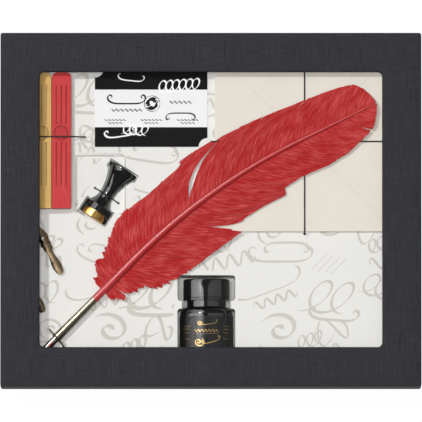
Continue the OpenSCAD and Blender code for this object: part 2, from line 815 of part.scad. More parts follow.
module seal_handle() {
    core_start = die_l + die_gap;
    curve = [for (i = [0:18]) let (a = seal_foot_l + i * (seal_l - seal_head_l - seal_foot_l) / 18) [seal_r(a), a]];
    profile = concat(
        [[0, core_start], [seal_neck_d / 2, core_start]],
        curve,
        [[seal_head_d / 2, seal_l - 0.6], [seal_head_d / 2 - 0.6, seal_l], [0, seal_l]]
    );
    color(gloss_black)
        seal_place()
            difference() {
                union() {
                    rotate([0, 90, 0])
                        rotate_extrude($fn = 96)
                            polygon(profile);
                    translate([die_gap, -seal_foot_w / 2, -seal_tab_t / 2])
                        cube([seal_foot_l - die_gap, seal_foot_w, seal_tab_t]);
                    translate([seal_l - seal_head_l, -seal_head_w / 2, -seal_tab_t / 2])
                        cube([seal_head_l - 0.4, seal_head_w, seal_tab_t]);
                }
                rotate([0, 90, 0])
                    translate([0, 0, -1])
                        cylinder(d = die_d + 2 * die_gap, h = core_start + 1, $fn = 96);
                rotate([0, 90, 0])
                    cylinder(d = stud_d + 0.2, h = stud_start + stud_l + 0.5, $fn = round_fn);
            }
}

module seal_stud() {
    color(steel)
        seal_place()
            rotate([0, 90, 0])
                translate([0, 0, stud_start])
                    cylinder(d = stud_d, h = stud_l, $fn = round_fn);
}

// Stepped brass disc with a turned ring in its face
module seal_die() {
    rim = die_d / 2;
    profile = [[0, 0], [rim - 2.4, 0], [rim - 2.4, 0.5], [rim - 1.6, 0.5], [rim - 1.6, 0], [rim - 0.3, 0], [rim, 0.3],
        [rim, die_l - 1.8], [rim - 0.5, die_l - 1.8], [rim - 0.5, die_l - 0.9], [rim - 1, die_l - 0.9],
        [rim - 1, die_l], [0, die_l]];
    color([0.8, 0.62, 0.28])
        seal_place()
            rotate([0, 90, 0])
                difference() {
                    rotate_extrude($fn = 96)
                        polygon(profile);
                    translate([0, 0, stud_start - 0.1])
                        cylinder(d = stud_d + 0.12, h = die_l, $fn = round_fn);
                }
}

module seal_tie() {
    path = tie_over_round(seal_tie_reach, seal_well_floor_z - tray_t - leg_l, seal_well_floor_z + 0.6,
        seal_z, seal_r(seal_tie_at));
    color(cord_black)
        translate([seal_x + seal_tie_at * cos(seal_heading), seal_y + seal_tie_at * sin(seal_heading), 0])
            upright_cord(path, tie_d, seal_heading - 90);
}

// Pen

module pen_place() {
    translate([pen_x, pen_y, pen_z])
        rotate([0, -pen_rise, pen_heading])
            children();
}

module pen_barrel() {
    lip = 0.25;
    color(steel)
        pen_place()
            rotate([0, 90, 0])
                difference() {
                    rotate_extrude($fn = 96)
                        polygon([[0, 0], [barrel_d / 2 - lip, 0], [barrel_d / 2, lip], [quill_d / 2, barrel_l],
                            [0, barrel_l]]);
                    translate([0, 0, -1])
                        cylinder(d = mouth_d, h = plug_reach + plug_stop_l + 1.5, $fn = round_fn);
                    cylinder(d = spigot_d + 0.1, h = barrel_l + 1, $fn = round_fn);
                }
}

// Red plug: a stop that fills the mouth and a rod that the nib slides over
module pen_plug() {
    color(quill_red)
        pen_place()
            rotate([0, 90, 0])
                rotate_extrude($fn = round_fn)
                    polygon([[0, -plug_reach], [plug_d / 2 - 0.8, -plug_reach], [plug_d / 2, -plug_reach + 2.5],
                        [plug_d / 2, plug_reach], [mouth_d / 2 - snug, plug_reach],
                        [mouth_d / 2 - snug, plug_reach + plug_stop_l], [0, plug_reach + plug_stop_l]]);
}

// Quill line: straight, then one bend, then straight again
function quill_heading(s) =
    let (bent = s - quill_lead, arc = quill_bend_r * quill_bend * PI / 180)
    -quill_bend * min(max(bent / arc, 0), 1);
function quill_point(s) =
    let (
        h = -quill_heading(s),
        arc = quill_bend_r * quill_bend * PI / 180,
        lead = min(s, quill_lead),
        tail = max(s - quill_lead - arc, 0)
    )
    [barrel_l + lead + quill_bend_r * sin(h) + tail * cos(h),
     -quill_bend_r * (1 - cos(h)) - tail * sin(h)];
function quill_r(s) = (quill_end_d + (quill_d - quill_end_d) * pow(1 - s / quill_l, 0.72)) / 2;
function beside_quill(s, d) =
    let (h = quill_heading(s))
    quill_point(s) + d * [-sin(h), cos(h)];

// The spigot inside the barrel is the tube's first, thinner stretch
module quill_shaft() {
    spigot = [-spigot_l, 0];
    stations = [for (i = [0:quill_steps]) i * quill_l / quill_steps];
    path = [for (s = concat(spigot, stations)) quill_point(s)];
    radii = concat([for (s = spigot) spigot_d / 2], [for (s = stations) quill_r(s)]);
    color(quill_red)
        pen_place()
            flat_tube(path, radii, 16);
}

// Outline of one vane: along the quill's side and back along the barbs' ends
function vane_outline(reach, widest, side) =
    let (
        first = reach[0][0],
        shares = [for (i = [0:vane_steps]) first + (1 - first) * i / vane_steps],
        inner = [for (u = shares) beside_quill(u * quill_l, side * (quill_r(u * quill_l) + 0.06))],
        outer = [for (i = [vane_steps:-1:0]) let (u = shares[i])
            beside_quill(u * quill_l, side * max(widest * lookup(u, reach), quill_r(u * quill_l) + 0.4))]
    )
    concat(inner, outer);

// Split between barbs, from (s0, d0) by the quill out to (s1, d1), w wide at its widest
module vane_split(s0, d0, s1, d1, w) {
    a = beside_quill(s0 * quill_l, d0);
    b = beside_quill(s1 * quill_l, d1);
    across = w / 2 * [-(b - a)[1], (b - a)[0]] / norm(b - a);
    mid = a + 0.6 * (b - a);
    linear_extrude(4 * vane_t, center = true)
        polygon([a, mid - across, b, mid + across]);
}

module feather_far() {
    color(quill_red)
        pen_place()
            difference() {
                linear_extrude(vane_t, center = true)
                    polygon(vane_outline(far_reach, vane_far_w, 1));
                vane_split(0.405, 0.26 * vane_far_w, 0.52, 0.87 * vane_far_w, 3);
            }
}

module feather_near() {
    color(quill_red)
        pen_place()
            difference() {
                linear_extrude(vane_t, center = true)
                    polygon(vane_outline(near_reach, vane_near_w, -1));
                vane_split(0.34, -0.26 * vane_near_w, 0.53, -1.15 * vane_near_w, 6.4);
            }
}

module pen_tie() {
    bar_z = pen_z + pen_tie_at * sin(pen_rise);
    path = tie_over_round(pen_tie_reach, leg_z, platform_z + 0.6, bar_z, barrel_d / 2 + 0.1);
    color(cord_black)
        translate([pen_x + pen_tie_at * cos(pen_heading), pen_y + pen_tie_at * sin(pen_heading), 0])
            upright_cord(path, tie_d, pen_tie_heading);
}

// Curved sheet of a nib: a shell of radius r above y = 0 inside a flat outline
module nib_shell(r, length, outline) {
    intersection() {
        rotate([0, 90, 0])
            translate([0, 0, -length])
                difference() {
                    cylinder(r = r, h = 2 * length, $fn = round_fn);
                    translate([0, 0, -1])
                        cylinder(r = r - nib_t, h = 2 * length + 2, $fn = round_fn);
                }
        linear_extrude(r + 1)
            difference() {
                polygon(outline);
                children();
            }
    }
}

// Mirrors a half outline given as [place along the nib, half width]
function both_sides(half) = concat(half, [for (i = [len(half) - 1:-1:0]) [half[i][0], -half[i][1]]]);

module pen_nib() {
    full = nib_d / 2;
    half = [[-nib_l, 0.12], [-0.8 * nib_l, 0.35 * full], [-0.62 * nib_l, 0.68 * full], [-0.4 * nib_l, 0.97 * full],
        [-0.3 * nib_l, full], [-0.5, full], [0, 0.96 * full], [nib_heel_l, 0.96 * full]];
    slot_at = -0.26 * nib_l;
    slot_w = 1;
    slot_l = 4;
    slit_w = 0.12;
    color(steel)
        pen_place()
            nib_shell(full, nib_l + 4, both_sides(half)) {
                translate([slot_at - slot_l / 2, -slot_w / 2])
                    square([slot_l, slot_w]);
                translate([slot_at - slot_l / 2, 0])
                    circle(d = slot_w, $fn = 24);
                translate([slot_at + slot_l / 2, 0])
                    circle(d = slot_w, $fn = 24);
                translate([-nib_l - 1, -slit_w / 2])
                    square([nib_l + 1 + slot_at, slit_w]);
            }
}

// Spare nib: heel, waist, collar ridges and a pierced body, tip last.
// The outline holds shares of the nib's length and of half its width.
module spare_nib(heel) {
    outline = [[0, 0.4], [0.05, 0.66], [0.15, 0.8], [0.25, 0.7], [0.36, 0.51], [0.45, 0.49], [0.48, 0.76],
        [0.51, 0.8], [0.53, 0.68], [0.56, 0.88], [0.59, 0.9], [0.62, 0.78], [0.68, 0.97], [0.74, 1],
        [0.84, 0.63], [0.93, 0.27], [1, 0.05]];
    half = [for (p = outline) [p[0] * spare_l, p[1] * spare_w / 2]];
    vent_at = 0.69 * spare_l;
    vent_d = 2;
    slit_w = 0.16;
    color(bronze)
        translate([heel[0], heel[1], spare_axis_z])
            rotate(spare_heading)
                nib_shell(spare_r, spare_l, both_sides(half)) {
                    translate([vent_at, 0])
                        circle(d = vent_d, $fn = 32);
                    translate([vent_at, -slit_w / 2])
                        square([spare_l, slit_w]);
                }
}

module spare_nib_upper() {
    spare_nib(spare_heel[0]);
}

module spare_nib_lower() {
    spare_nib(spare_heel[1]);
}

// Ink bottle: its own +Z runs from the foot to the cap

module bottle_place() {
    translate([bottle_x, bottle_foot_y, bottle_z])
        rotate([-90, 0, 0])
            children();
}

// Quarter-wave shoulder from the body's radius to the neck's
function shoulder(body_r, neck_r, start) = [
    for (i = [0:10]) let (t = i / 10)
        [neck_r + (body_r - neck_r) * sqrt(1 - t * t), start + shoulder_l * t]
];

module ink_bottle() {
    body_r = bottle_d / 2;
    wall_r = body_r - glass_t;
    neck_r = neck_d / 2;
    finish_r = finish_d / 2;
    bore_r = finish_r - glass_t;
    foot_r = 1.5;
    ridge_z = finish_start + 0.55 * finish_l;
    outer = concat(
        [[0, 0.6], [body_r - 5, 0.6], [body_r - 3.5, 0], [body_r - foot_r, 0], [body_r, foot_r]],
        shoulder(body_r, neck_r, bottle_body_l),
        [[neck_r, finish_start], [finish_r, finish_start],
            [finish_r, ridge_z], [finish_r + ridge_h, ridge_z + 0.4], [finish_r + ridge_h, ridge_z + 1], [finish_r, ridge_z + 1.4],
            [finish_r, finish_end]]
    );
    inner = concat(
        [[bore_r, finish_end], [bore_r, neck_at]],
        [for (i = [10:-1:0]) shoulder(wall_r, bore_r, bottle_body_l)[i]],
        [[wall_r, 3], [0, 3]]
    );
    color([0.16, 0.16, 0.17])
        bottle_place()
            rotate_extrude($fn = 96)
                polygon(concat(outer, inner));
}

// The ink fills the body up to the shoulder's end
module ink() {
    inner_r = bottle_d / 2 - glass_t - snug;
    bore_r = finish_d / 2 - glass_t - snug;
    color([0.04, 0.04, 0.05])
        bottle_place()
            rotate_extrude($fn = 96)
                polygon(concat([[0, 3 + snug], [inner_r, 3 + snug]], shoulder(inner_r, bore_r, bottle_body_l),
                    [[0, neck_at]]));
}

module bottle_label() {
    color([0.1, 0.1, 0.1])
        bottle_place()
            translate([0, 0, label_at])
                tube(bottle_d / 2 + label_t, bottle_d / 2 + 0.01, label_l);
}

module tube(outer_r, inner_r, length) {
    difference() {
        cylinder(r = outer_r, h = length, $fn = 96);
        translate([0, 0, -1])
            cylinder(r = inner_r, h = length + 2, $fn = 96);
    }
}

module tamper_ring() {
    color(gloss_black)
        bottle_place()
            translate([0, 0, ring_at])
                tube(cap_d / 2, ring_bore_d / 2, ring_l);
}

module cap_liner() {
    color([0.85, 0.85, 0.85])
        bottle_place()
            translate([0, 0, cap_at + cap_l - cap_t - liner_t])
                cylinder(d = cap_bore_d - 0.4, h = liner_t - snug, $fn = 96);
}

module bottle_cap() {
    edge = 1;
    outer_r = cap_d / 2;
    color(gloss_black)
        bottle_place()
            translate([0, 0, cap_at])
                difference() {
                    rotate_extrude($fn = 96)
                        polygon(concat([[0, 0], [outer_r - 0.2, 0], [outer_r, 0.2]],
                            [for (i = [0:5]) let (a = 18 * i) [outer_r - edge + edge * cos(a), cap_l - edge + edge * sin(a)]],
                            [[0, cap_l]]));
                    translate([0, 0, -1])
                        cylinder(d = cap_bore_d, h = cap_l - cap_t + 1, $fn = 96);
                }
}

base_bottom_sheet();
base_board();
base_side_wrap();
insert_tray();
lid_board();
lid_wrap();
window_film();
lid_lining();
leaflet();
envelope_stack();
top_envelope();
cord_across();
cord_along();
wax_stick_gold();
wax_stick_red();
wax_tie();
seal_handle();
seal_stud();
seal_die();
seal_tie();
pen_barrel();
pen_plug();
quill_shaft();
feather_far();
feather_near();
pen_tie();
pen_nib();
spare_nib_upper();
spare_nib_lower();
ink_bottle();
ink();
bottle_label();
tamper_ring();
cap_liner();
bottle_cap();
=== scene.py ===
"""Calligraphy set in a flat gift box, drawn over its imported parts.

Lengths inside the functions are millimetres; settings are in metres, as Blender shows them.
"""

import bmesh
import bpy
import numpy as np
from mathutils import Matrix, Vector


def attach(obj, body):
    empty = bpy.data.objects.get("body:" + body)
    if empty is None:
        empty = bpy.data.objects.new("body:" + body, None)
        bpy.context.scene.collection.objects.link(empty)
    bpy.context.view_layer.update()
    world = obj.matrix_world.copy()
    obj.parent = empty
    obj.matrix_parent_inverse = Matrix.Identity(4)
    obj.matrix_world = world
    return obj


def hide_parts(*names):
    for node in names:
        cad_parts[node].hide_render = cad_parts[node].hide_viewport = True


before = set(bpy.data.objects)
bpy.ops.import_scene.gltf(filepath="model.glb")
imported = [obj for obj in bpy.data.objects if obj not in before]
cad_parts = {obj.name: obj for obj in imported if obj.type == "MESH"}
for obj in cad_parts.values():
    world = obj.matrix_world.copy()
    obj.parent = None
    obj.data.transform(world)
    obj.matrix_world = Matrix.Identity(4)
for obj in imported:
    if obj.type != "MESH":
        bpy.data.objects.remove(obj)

bl_info = {
    "name": "Calligraphy Set Box",
    "version": (1, 0, 0),
    "blender": (4, 5, 0),
    "location": "View3D > Sidebar > Calligraphy Set",
    "description": "Draws the surfaces, print, feather and light of a boxed calligraphy set",
    "category": "Object",
}

MM = 0.001


def linear(red, green, blue):
    """Scene-linear colour of a screen colour given in levels from 0 to 255."""
    return tuple(
        level / 255 / 12.92 if level <= 10 else ((level / 255 + 0.055) / 1.055) ** 2.4
        for level in (red, green, blue)
    )


def length_setting(name, metres, text):
    """A length that is shown with its unit."""
    return bpy.props.FloatProperty(
        name=name, default=metres, min=0, precision=5, subtype="DISTANCE", unit="LENGTH", description=text
    )


def colour_setting(name, red, green, blue, text):
    """A colour, given in screen levels."""
    return bpy.props.FloatVectorProperty(
        name=name, size=3, min=0, max=1, subtype="COLOR", default=linear(red, green, blue), description=text
    )


class CalligraphySetSettings(bpy.types.PropertyGroup):
    """Sizes and colours that the set is drawn with."""

    lid_width: length_setting("Lid width", 0.290, "Outer width of the lid")
    lid_length: length_setting("Lid length", 0.244, "Outer length of the lid, front to back")
    box_height: length_setting("Box height", 0.046, "Height of the closed box")
    skirt: length_setting("Lid skirt", 0.032, "Depth of the lid's side walls")
    window_margin: length_setting("Window margin", 0.027, "Width of the lid's margin round its window")
    paper: length_setting("Cover paper", 0.0003, "Thickness of the covering paper")
    fold: length_setting("Paper fold", 0.0006, "Radius of the covering paper over the board's edges")
    thread: length_setting("Linen thread", 0.0007, "Distance between the threads of the linen paper")
    elastic: length_setting("Elastic", 0.001, "Diameter of the elastic cords over the envelopes")
    tie: length_setting("Tie", 0.0009, "Diameter of the ties that hold pen, wax and seal")
    far_vane: length_setting("Far vane", 0.0315, "Widest reach of the feather on its far side")
    near_vane: length_setting("Near vane", 0.034, "Widest reach of the feather on its near side")
    barb: length_setting("Barb spacing", 0.0005, "Distance between the barbs along the quill")
    linen_colour: colour_setting("Linen paper", 31, 31, 36, "Charcoal linen paper of the box")
    tray_colour: colour_setting("Tray", 231, 230, 226, "White of the formed tray")
    print_colour: colour_setting("Tray print", 205, 201, 193, "Pale strokes printed on the tray")
    envelope_colour: colour_setting("Envelopes", 229, 223, 211, "Cream laid paper of the envelopes")
    feather_colour: colour_setting("Feather", 170, 24, 27, "Deep red of the barbs")
    # the paler red is partly the barbs' own tone and partly painted sheen
    feather_pale_and_sheen: colour_setting("Feather pale and sheen", 214, 98, 96, "Paler red along the barbs")
    quill_colour: colour_setting("Quill", 186, 30, 34, "Red of the quill")
    gold_wax_colour: colour_setting("Gold wax", 205, 166, 98, "Gold sealing wax")
    red_wax_colour: colour_setting("Red wax", 201, 52, 54, "Red sealing wax")
    gloss_colour: colour_setting("Gloss black", 9, 9, 10, "Black of the seal, the bottle and its cap")
    steel_colour: colour_setting("Steel", 160, 152, 135, "Steel of the pen's barrel")
    brass_colour: colour_setting("Brass", 232, 188, 106, "Brass of the seal's die")
    bronze_colour: colour_setting("Bronze", 152, 132, 104, "Antique bronze of the spare nibs")
    gold_print_colour: colour_setting("Gold print", 196, 164, 100, "Gold print on the bottle's label")

# Places in the box, in millimetres: x and y of a middle, and for a well its width and length too

ENVELOPES = (64.6, 47.6)
SEAL = (-81.9, -4.7)
SEAL_HEADING = 56.9
BOTTLE_AXIS = (-3.1, -108.9, 22.0)  # middle of the bottle's foot; the bottle lies along Y
WAX_WELL = (-109.9, 47.4, 30.2, 98.8)
BOTTLE_WELL = (-3.1, -79, 41.5, 71.5)
SHALLOW_WELL = (-77.3, 18.6, 35, 39.8)
SEAL_POCKET = (-4, 43.5, 12.6)  # its start and end along the seal, and half its width
TRAY_SIZE = (275, 229)

# Heights of faces that are printed on

TRAY_FACE, SHALLOW_FACE, LEAFLET_FACE, ENVELOPE_FACE = 33.0, 30.0, 33.6, 36.45
LEAFLET_BAND = (57.7, 83.7)  # the white band's edges along Y
# top face of the wax sticks; the wax's painted shade begins just below it
WAX_FACE = 37.9

TURN = 2 * np.pi
SHARP = 32  # degrees by which an edge turns that is shown sharp, or rounded where a piece is softened


# Meshes


def add_object(name, data):
    """Puts an object with this data into the scene, at the origin."""
    made = bpy.data.objects.new(name, data)
    bpy.context.scene.collection.objects.link(made)
    return made


def add_mesh(name, points, faces, uv=None, smooth=True):
    """Makes a mesh object from points in millimetres and a list of faces."""
    mesh = bpy.data.meshes.new(name)
    mesh.from_pydata((np.asarray(points, float) * MM).tolist(), [], [list(f) for f in faces])
    if mesh.validate():
        raise ValueError(f"{name} had faces that Blender dropped")
    if uv is not None:
        corner = np.empty(len(mesh.loops), int)
        mesh.loops.foreach_get("vertex_index", corner)
        mesh.uv_layers.new(name="UVMap").data.foreach_set("uv", np.asarray(uv, float)[corner].ravel())
    mesh.polygons.foreach_set("use_smooth", np.full(len(mesh.polygons), smooth))
    mesh.update()
    return add_object(name, mesh)


def sharpen(piece, degrees=SHARP):
    """Shades the mesh smooth except over edges that turn by more than this angle."""
    piece.data.shade_smooth()
    piece.data.set_sharp_from_angle(angle=np.radians(degrees))
    return piece


def place(piece, body, slot, material, *nodes):
    """Gives a piece its material, its body and the CAD nodes that it stands for."""
    piece.data.materials.clear()
    piece.data.materials.append(bpy.data.materials[material])
    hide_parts(*nodes)
    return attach(piece, body)


def grid_faces(rows, columns, close_rows=False, close_columns=False, start=0):
    """Quads between rows and columns of points. They face where the columns' direction crossed with the
    rows' direction points to."""
    index = start + np.arange(rows * columns).reshape(rows, columns)
    if close_rows:
        index = np.vstack([index, index[:1]])
    if close_columns:
        index = np.hstack([index, index[:, :1]])
    quads = np.stack([index[:-1, :-1], index[:-1, 1:], index[1:, 1:], index[1:, :-1]], axis=-1)
    return quads.reshape(-1, 4).tolist()


def sweep(path, radii, sides=12):
    """Points and faces of a closed tube: at each point of the path a ring of that radius, square to the path.
    The ring's first direction is carried along the path without twist."""
    path = np.asarray(path, float)
    radii = np.broadcast_to(np.asarray(radii, float), (len(path),))[:, None, None]
    along = np.gradient(path, axis=0)
    along /= np.linalg.norm(along, axis=1)[:, None]
    steep = abs(along[0][2]) >= 0.9
    side = np.cross(along[0], [0.0, 1.0, 0.0] if steep else [0.0, 0.0, 1.0])
    first = []
    for direction in along:
        side = side - direction * (side @ direction)
        side = side / np.linalg.norm(side)
        first.append(side)
    second = np.cross(along, first)[:, None]
    angle = np.linspace(0, TURN, sides, endpoint=False)[None, :, None]
    rings = path[:, None] + radii * (np.cos(angle) * np.array(first)[:, None] + np.sin(angle) * second)
    faces = grid_faces(len(path), sides, close_columns=True)
    last = (len(path) - 1) * sides
    faces += [list(range(sides))[::-1], list(range(last, last + sides))]
    return rings.reshape(-1, 3), faces


def lathe(name, profile, axis, sides=128):
    """Surface turned about a line along Y. A profile point (r, y) goes round on
    x = X + r cos a, z = Z - r sin a; the first and the last point lie on the line."""
    profile = np.asarray(profile, float)
    angle = np.linspace(0, TURN, sides, endpoint=False)
    r, y = profile[1:-1, :1], profile[1:-1, 1:]
    rings = np.stack([r * np.cos(angle), y + 0 * angle, -r * np.sin(angle)], axis=-1).reshape(-1, 3)
    poles = [[0, profile[0, 1], 0], [0, profile[-1, 1], 0]]
    rows, pole = len(profile) - 2, len(rings)
    last = (rows - 1) * sides
    faces = grid_faces(rows, sides, close_columns=True)
    for k in range(sides):
        after = (k + 1) % sides
        faces += [(pole, after, k), (pole + 1, last + k, last + after)]
    return sharpen(add_mesh(name, np.vstack([rings, poles]) + np.array(axis), faces))


def soften(name, node, width, segments):
    """A copy of a CAD node with its triangles joined, its flat faces made whole and its edges rounded."""
    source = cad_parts[node]
    mesh = source.data.copy()
    mesh.name = name
    mesh.transform(source.matrix_world)
    work = bmesh.new()
    work.from_mesh(mesh)
    bmesh.ops.remove_doubles(work, verts=work.verts, dist=0.002 * MM)
    flat = np.radians(0.6)
    bmesh.ops.dissolve_limit(work, angle_limit=flat, verts=work.verts, edges=work.edges, delimit={"NORMAL"})
    bmesh.ops.recalc_face_normals(work, faces=work.faces)
    work.to_mesh(mesh)
    work.free()
    mesh.update()
    piece = sharpen(add_object(name, mesh))
    if width:
        bevel = piece.modifiers.new("Rounded edges", "BEVEL")
        bevel.width = width * MM
        bevel.segments = segments
        bevel.limit_method = "ANGLE"
        bevel.angle_limit = np.radians(SHARP)
        bevel.harden_normals = True
    return piece


# Outlines and routes


def rounded_loop(width, length, radius, steps=7):
    """Points round a rounded rectangle, counterclockwise, and the outward direction at each of them."""
    points, outward = [], []
    for quarter, (sx, sy) in enumerate([(1, 1), (-1, 1), (-1, -1), (1, -1)]):
        centre = np.array([sx * (width / 2 - radius), sy * (length / 2 - radius)])
        for angle in np.radians(90 * quarter) + np.linspace(0, np.pi / 2, steps):
            outward.append(np.array([np.cos(angle), np.sin(angle)]))
            points.append(centre + radius * outward[-1])
    return np.array(points), np.array(outward)


def bend_route(corners, radius, steps=6):
    """A route through corner points, each corner drawn as a parabola that starts the radius before it."""
    corners = [np.asarray(c, float) for c in corners]
    route = [corners[0]]
    for before, corner, after in zip(corners, corners[1:], corners[2:]):
        ways = [before - corner, after - corner]
        lengths = [np.linalg.norm(way) for way in ways]
        reach = min(radius, 0.45 * lengths[0], 0.45 * lengths[1])
        start, end = (corner + reach * way / length for way, length in zip(ways, lengths))
        for t in np.linspace(0, 1, steps + 1):
            route.append((1 - t) ** 2 * start + 2 * t * (1 - t) * corner + t * t * end)
    route.append(corners[-1])
    return np.array(route)


def further(place_on, degrees, distance):
    """A flat place, moved on along a heading."""
    turn = np.radians(degrees)
    return place_on[0] + distance * np.cos(turn), place_on[1] + distance * np.sin(turn)


def upright(route, place_on, degrees):
    """Points of an upright route, given as distance and height, along a heading through a place."""
    distance, height = np.asarray(route, float).T
    return np.column_stack([*further(place_on, degrees, distance), height])


def over_bar(reach, low, high, bar_z, bar_r, tie):
    """Route of a tie from one hole up, over a round bar and down into the other hole."""
    clear, bend = 0.12, 0.9
    radius = bar_r + tie / 2 + clear
    rise = high - bar_z
    touch = np.arctan2(rise, reach) + np.arccos(radius / np.hypot(reach, rise))
    arc = np.linspace(np.pi - touch, touch, 15)
    over = np.column_stack([radius * np.cos(arc), bar_z + radius * np.sin(arc)])
    left = bend_route([[-reach, low], [-reach, high], over[0]], bend)
    right = bend_route([over[-1], [reach, high], [reach, low]], bend)
    return np.vstack([left[:-1], over, right[1:]])


# Materials


def set_inputs(tree, node, inputs):
    """Gives a node's inputs values or the sockets that feed them; an underscore stands for a space."""
    for key, value in inputs.items():
        socket = node.inputs[key.replace("_", " ") if isinstance(key, str) else key]
        if isinstance(value, bpy.types.NodeSocket):
            tree.links.new(value, socket)
        else:
            socket.default_value = (*value, 1) if socket.type == "RGBA" else value


class Shading:
    """A tree of shader nodes. Most methods add a node and return the output that is used."""

    def __init__(self, tree):
        self.tree = tree

    def node(self, kind, inputs=None, **settings):
        """Adds a node and returns it; an input is given a value or the socket that feeds it."""
        made = self.tree.nodes.new("ShaderNode" + kind)
        for name, value in settings.items():
            setattr(made, name, value)
        set_inputs(self.tree, made, inputs or {})
        count = len(self.tree.nodes)
        made.location = (220 * (count % 8) - 1500, -260 * (count // 8))
        return made

    def maths(self, operation, *values):
        """One step of arithmetic."""
        return self.node("Math", dict(enumerate(values)), operation=operation).outputs[0]

    def add(self, a, b):
        return self.maths("ADD", a, b)

    def times(self, a, b):
        return self.maths("MULTIPLY", a, b)

    def larger(self, a, b):
        return self.maths("MAXIMUM", a, b)

    def ranged(self, value, low, high, start, end):
        """Goes from start to end while the value goes from low to high."""
        return self.node("MapRange", {0: value, 1: low, 2: high, 3: start, 4: end}).outputs[0]

    def blend(self, share, first, second):
        """Mixes two colours."""
        return self.node("Mix", {0: share, 6: first, 7: second}, data_type="RGBA").outputs[2]

    def noise(self, vector, scale, detail, stretch=None):
        """Noise over a vector that may be stretched along its axes first."""
        if stretch:
            vector = self.node("VectorMath", {0: vector, 1: stretch}, operation="MULTIPLY").outputs[0]
        return self.node("TexNoise", {"Vector": vector, "Scale": scale, "Detail": detail}).outputs[0]

    def axes(self, vector):
        """The three parts of a vector."""
        return self.node("SeparateXYZ", {0: vector}).outputs


class Group(Shading):
    """A shader node group with a vector and the named inputs, whose defaults are given: a colour as a tuple."""

    def __init__(self, name, outputs, **inputs):
        super().__init__(bpy.data.node_groups.new(name, "ShaderNodeTree"))
        self.add_socket("Vector", "INPUT", "Vector")
        for label, default in inputs.items():
            if isinstance(default, tuple):
                self.add_socket(label, "INPUT", "Color").default_value = (*default, 1)
            else:
                self.add_socket(label, "INPUT", "Float").default_value = default
        for label in outputs:
            self.add_socket(label, "OUTPUT", "Color" if label == "Colour" else "Float")
        into, self.out = self.tree.nodes.new("NodeGroupInput"), self.tree.nodes.new("NodeGroupOutput")
        into.location, self.out.location = (-1900, 0), (700, 0)
        self.given = into.outputs

    def add_socket(self, label, way, kind):
        label = label.replace("_", " ")
        return self.tree.interface.new_socket(label, in_out=way, socket_type="NodeSocket" + kind)

    def give(self, **sockets):
        """Links the group's outputs."""
        set_inputs(self.tree, self.out, sockets)


def paper_grain_group():
    """Fibres and faint mottling of paper or card."""
    group = Group(
        "Paper grain", ("Colour", "Roughness", "Height"),
        Colour=(0.8, 0.8, 0.8), Fibres=3000.0, Mottling=0.05, Roughness=0.75,
    )
    given = group.given
    fibres = group.noise(given["Vector"], given["Fibres"], 3.0)
    clouds = group.noise(given["Vector"], 55.0, 2.0)
    mix = group.add(group.times(fibres, 0.45), group.times(clouds, 0.55))
    darker = group.times(group.ranged(mix, 0.68, 0.3, 0.0, 1.0), given["Mottling"])
    group.give(
        Colour=group.blend(darker, given["Colour"], (0.1, 0.095, 0.085)),
        Roughness=group.add(given["Roughness"], group.ranged(clouds, 0.3, 0.7, -0.06, 0.06)),
        Height=fibres,
    )


def linen_group():
    """Crossed threads embossed in paper, with uneven threads and a rubbed tone."""
    group = Group(
        "Linen weave", ("Colour", "Roughness", "Height"), Colour=(0.05, 0.05, 0.05), Pitch=0.0007, Contrast=0.3
    )
    given, vector = group.given, group.given["Vector"]
    axes = group.axes(vector)
    turn = group.maths("DIVIDE", TURN, given["Pitch"])
    waver = group.times(group.noise(vector, 260.0, 2.0), 5.0)
    heights, streaks = [], []
    for axis, broad, fine in (
        (0, (900.0, 60.0, 60.0), (1500.0, 60.0, 60.0)), (1, (60.0, 900.0, 60.0), (90.0, 1500.0, 60.0)),
    ):
        wave = group.maths("SINE", group.add(group.times(axes[axis], turn), waver))
        thickness = group.ranged(group.noise(vector, 1.0, 2.0, broad), 0.35, 0.65, 0.2, 1.0)
        heights.append(group.times(group.ranged(wave, -1.0, 1.0, 0.0, 1.0), thickness))
        streaks.append(group.ranged(group.noise(vector, 1.0, 3.0, fine), 0.35, 0.65, 0.0, 0.5))
    height = group.larger(heights[0], group.times(heights[1], 0.8))
    rubbed = group.add(streaks[0], group.times(streaks[1], 0.7))
    share = group.times(group.add(group.times(height, 0.4), rubbed), given["Contrast"])
    group.give(
        Colour=group.blend(share, given["Colour"], (0.075, 0.075, 0.085)),
        Roughness=group.ranged(height, 0.0, 1.0, 0.82, 0.6),
        Height=height,
    )


def wear_group():
    """Uneven sheen and a very faint ripple of a moulded, cast or polished surface."""
    group = Group("Surface wear", ("Roughness", "Height", "Mask"), Roughness=0.2, Variation=0.1, Size=90.0)
    given = group.given
    broad = group.noise(given["Vector"], given["Size"], 4.0)
    fine = group.noise(given["Vector"], 1400.0, 2.0)
    swing = group.times(group.ranged(broad, 0.3, 0.7, -1.0, 1.0), given["Variation"])
    group.give(
        Roughness=group.add(given["Roughness"], swing), Height=group.add(broad, group.times(fine, 0.25)), Mask=broad
    )


def barb_group():
    """Colour along and across the barbs of a feather: U runs along a barb and V counts the barbs."""
    group = Group(
        "Feather barbs", ("Colour", "Roughness", "Height"),
        Deep_Colour=(0.4, 0.03, 0.03), Pale_Colour=(0.6, 0.15, 0.15),
    )
    given = group.given
    locks = group.noise(given["Vector"], 1.0, 3.0, (1.3, 0.05, 1.0))
    barbs = group.noise(given["Vector"], 1.0, 1.0, (1.1, 0.95, 1.0))
    # Pale lines along the barbs: partly the barbs' own lighter tone, partly painted sheen
    lines = group.times(group.ranged(locks, 0.38, 0.62, 0.45, 1.0), group.ranged(barbs, 0.43, 0.7, 0.0, 0.85))
    tone = group.add(lines, group.ranged(locks, 0.35, 0.65, 0.03, 0.16))
    group.give(
        Colour=group.blend(tone, given["Deep Colour"], given["Pale Colour"]),
        Roughness=group.ranged(barbs, 0.3, 0.7, 0.6, 0.8),
        Height=barbs,
    )


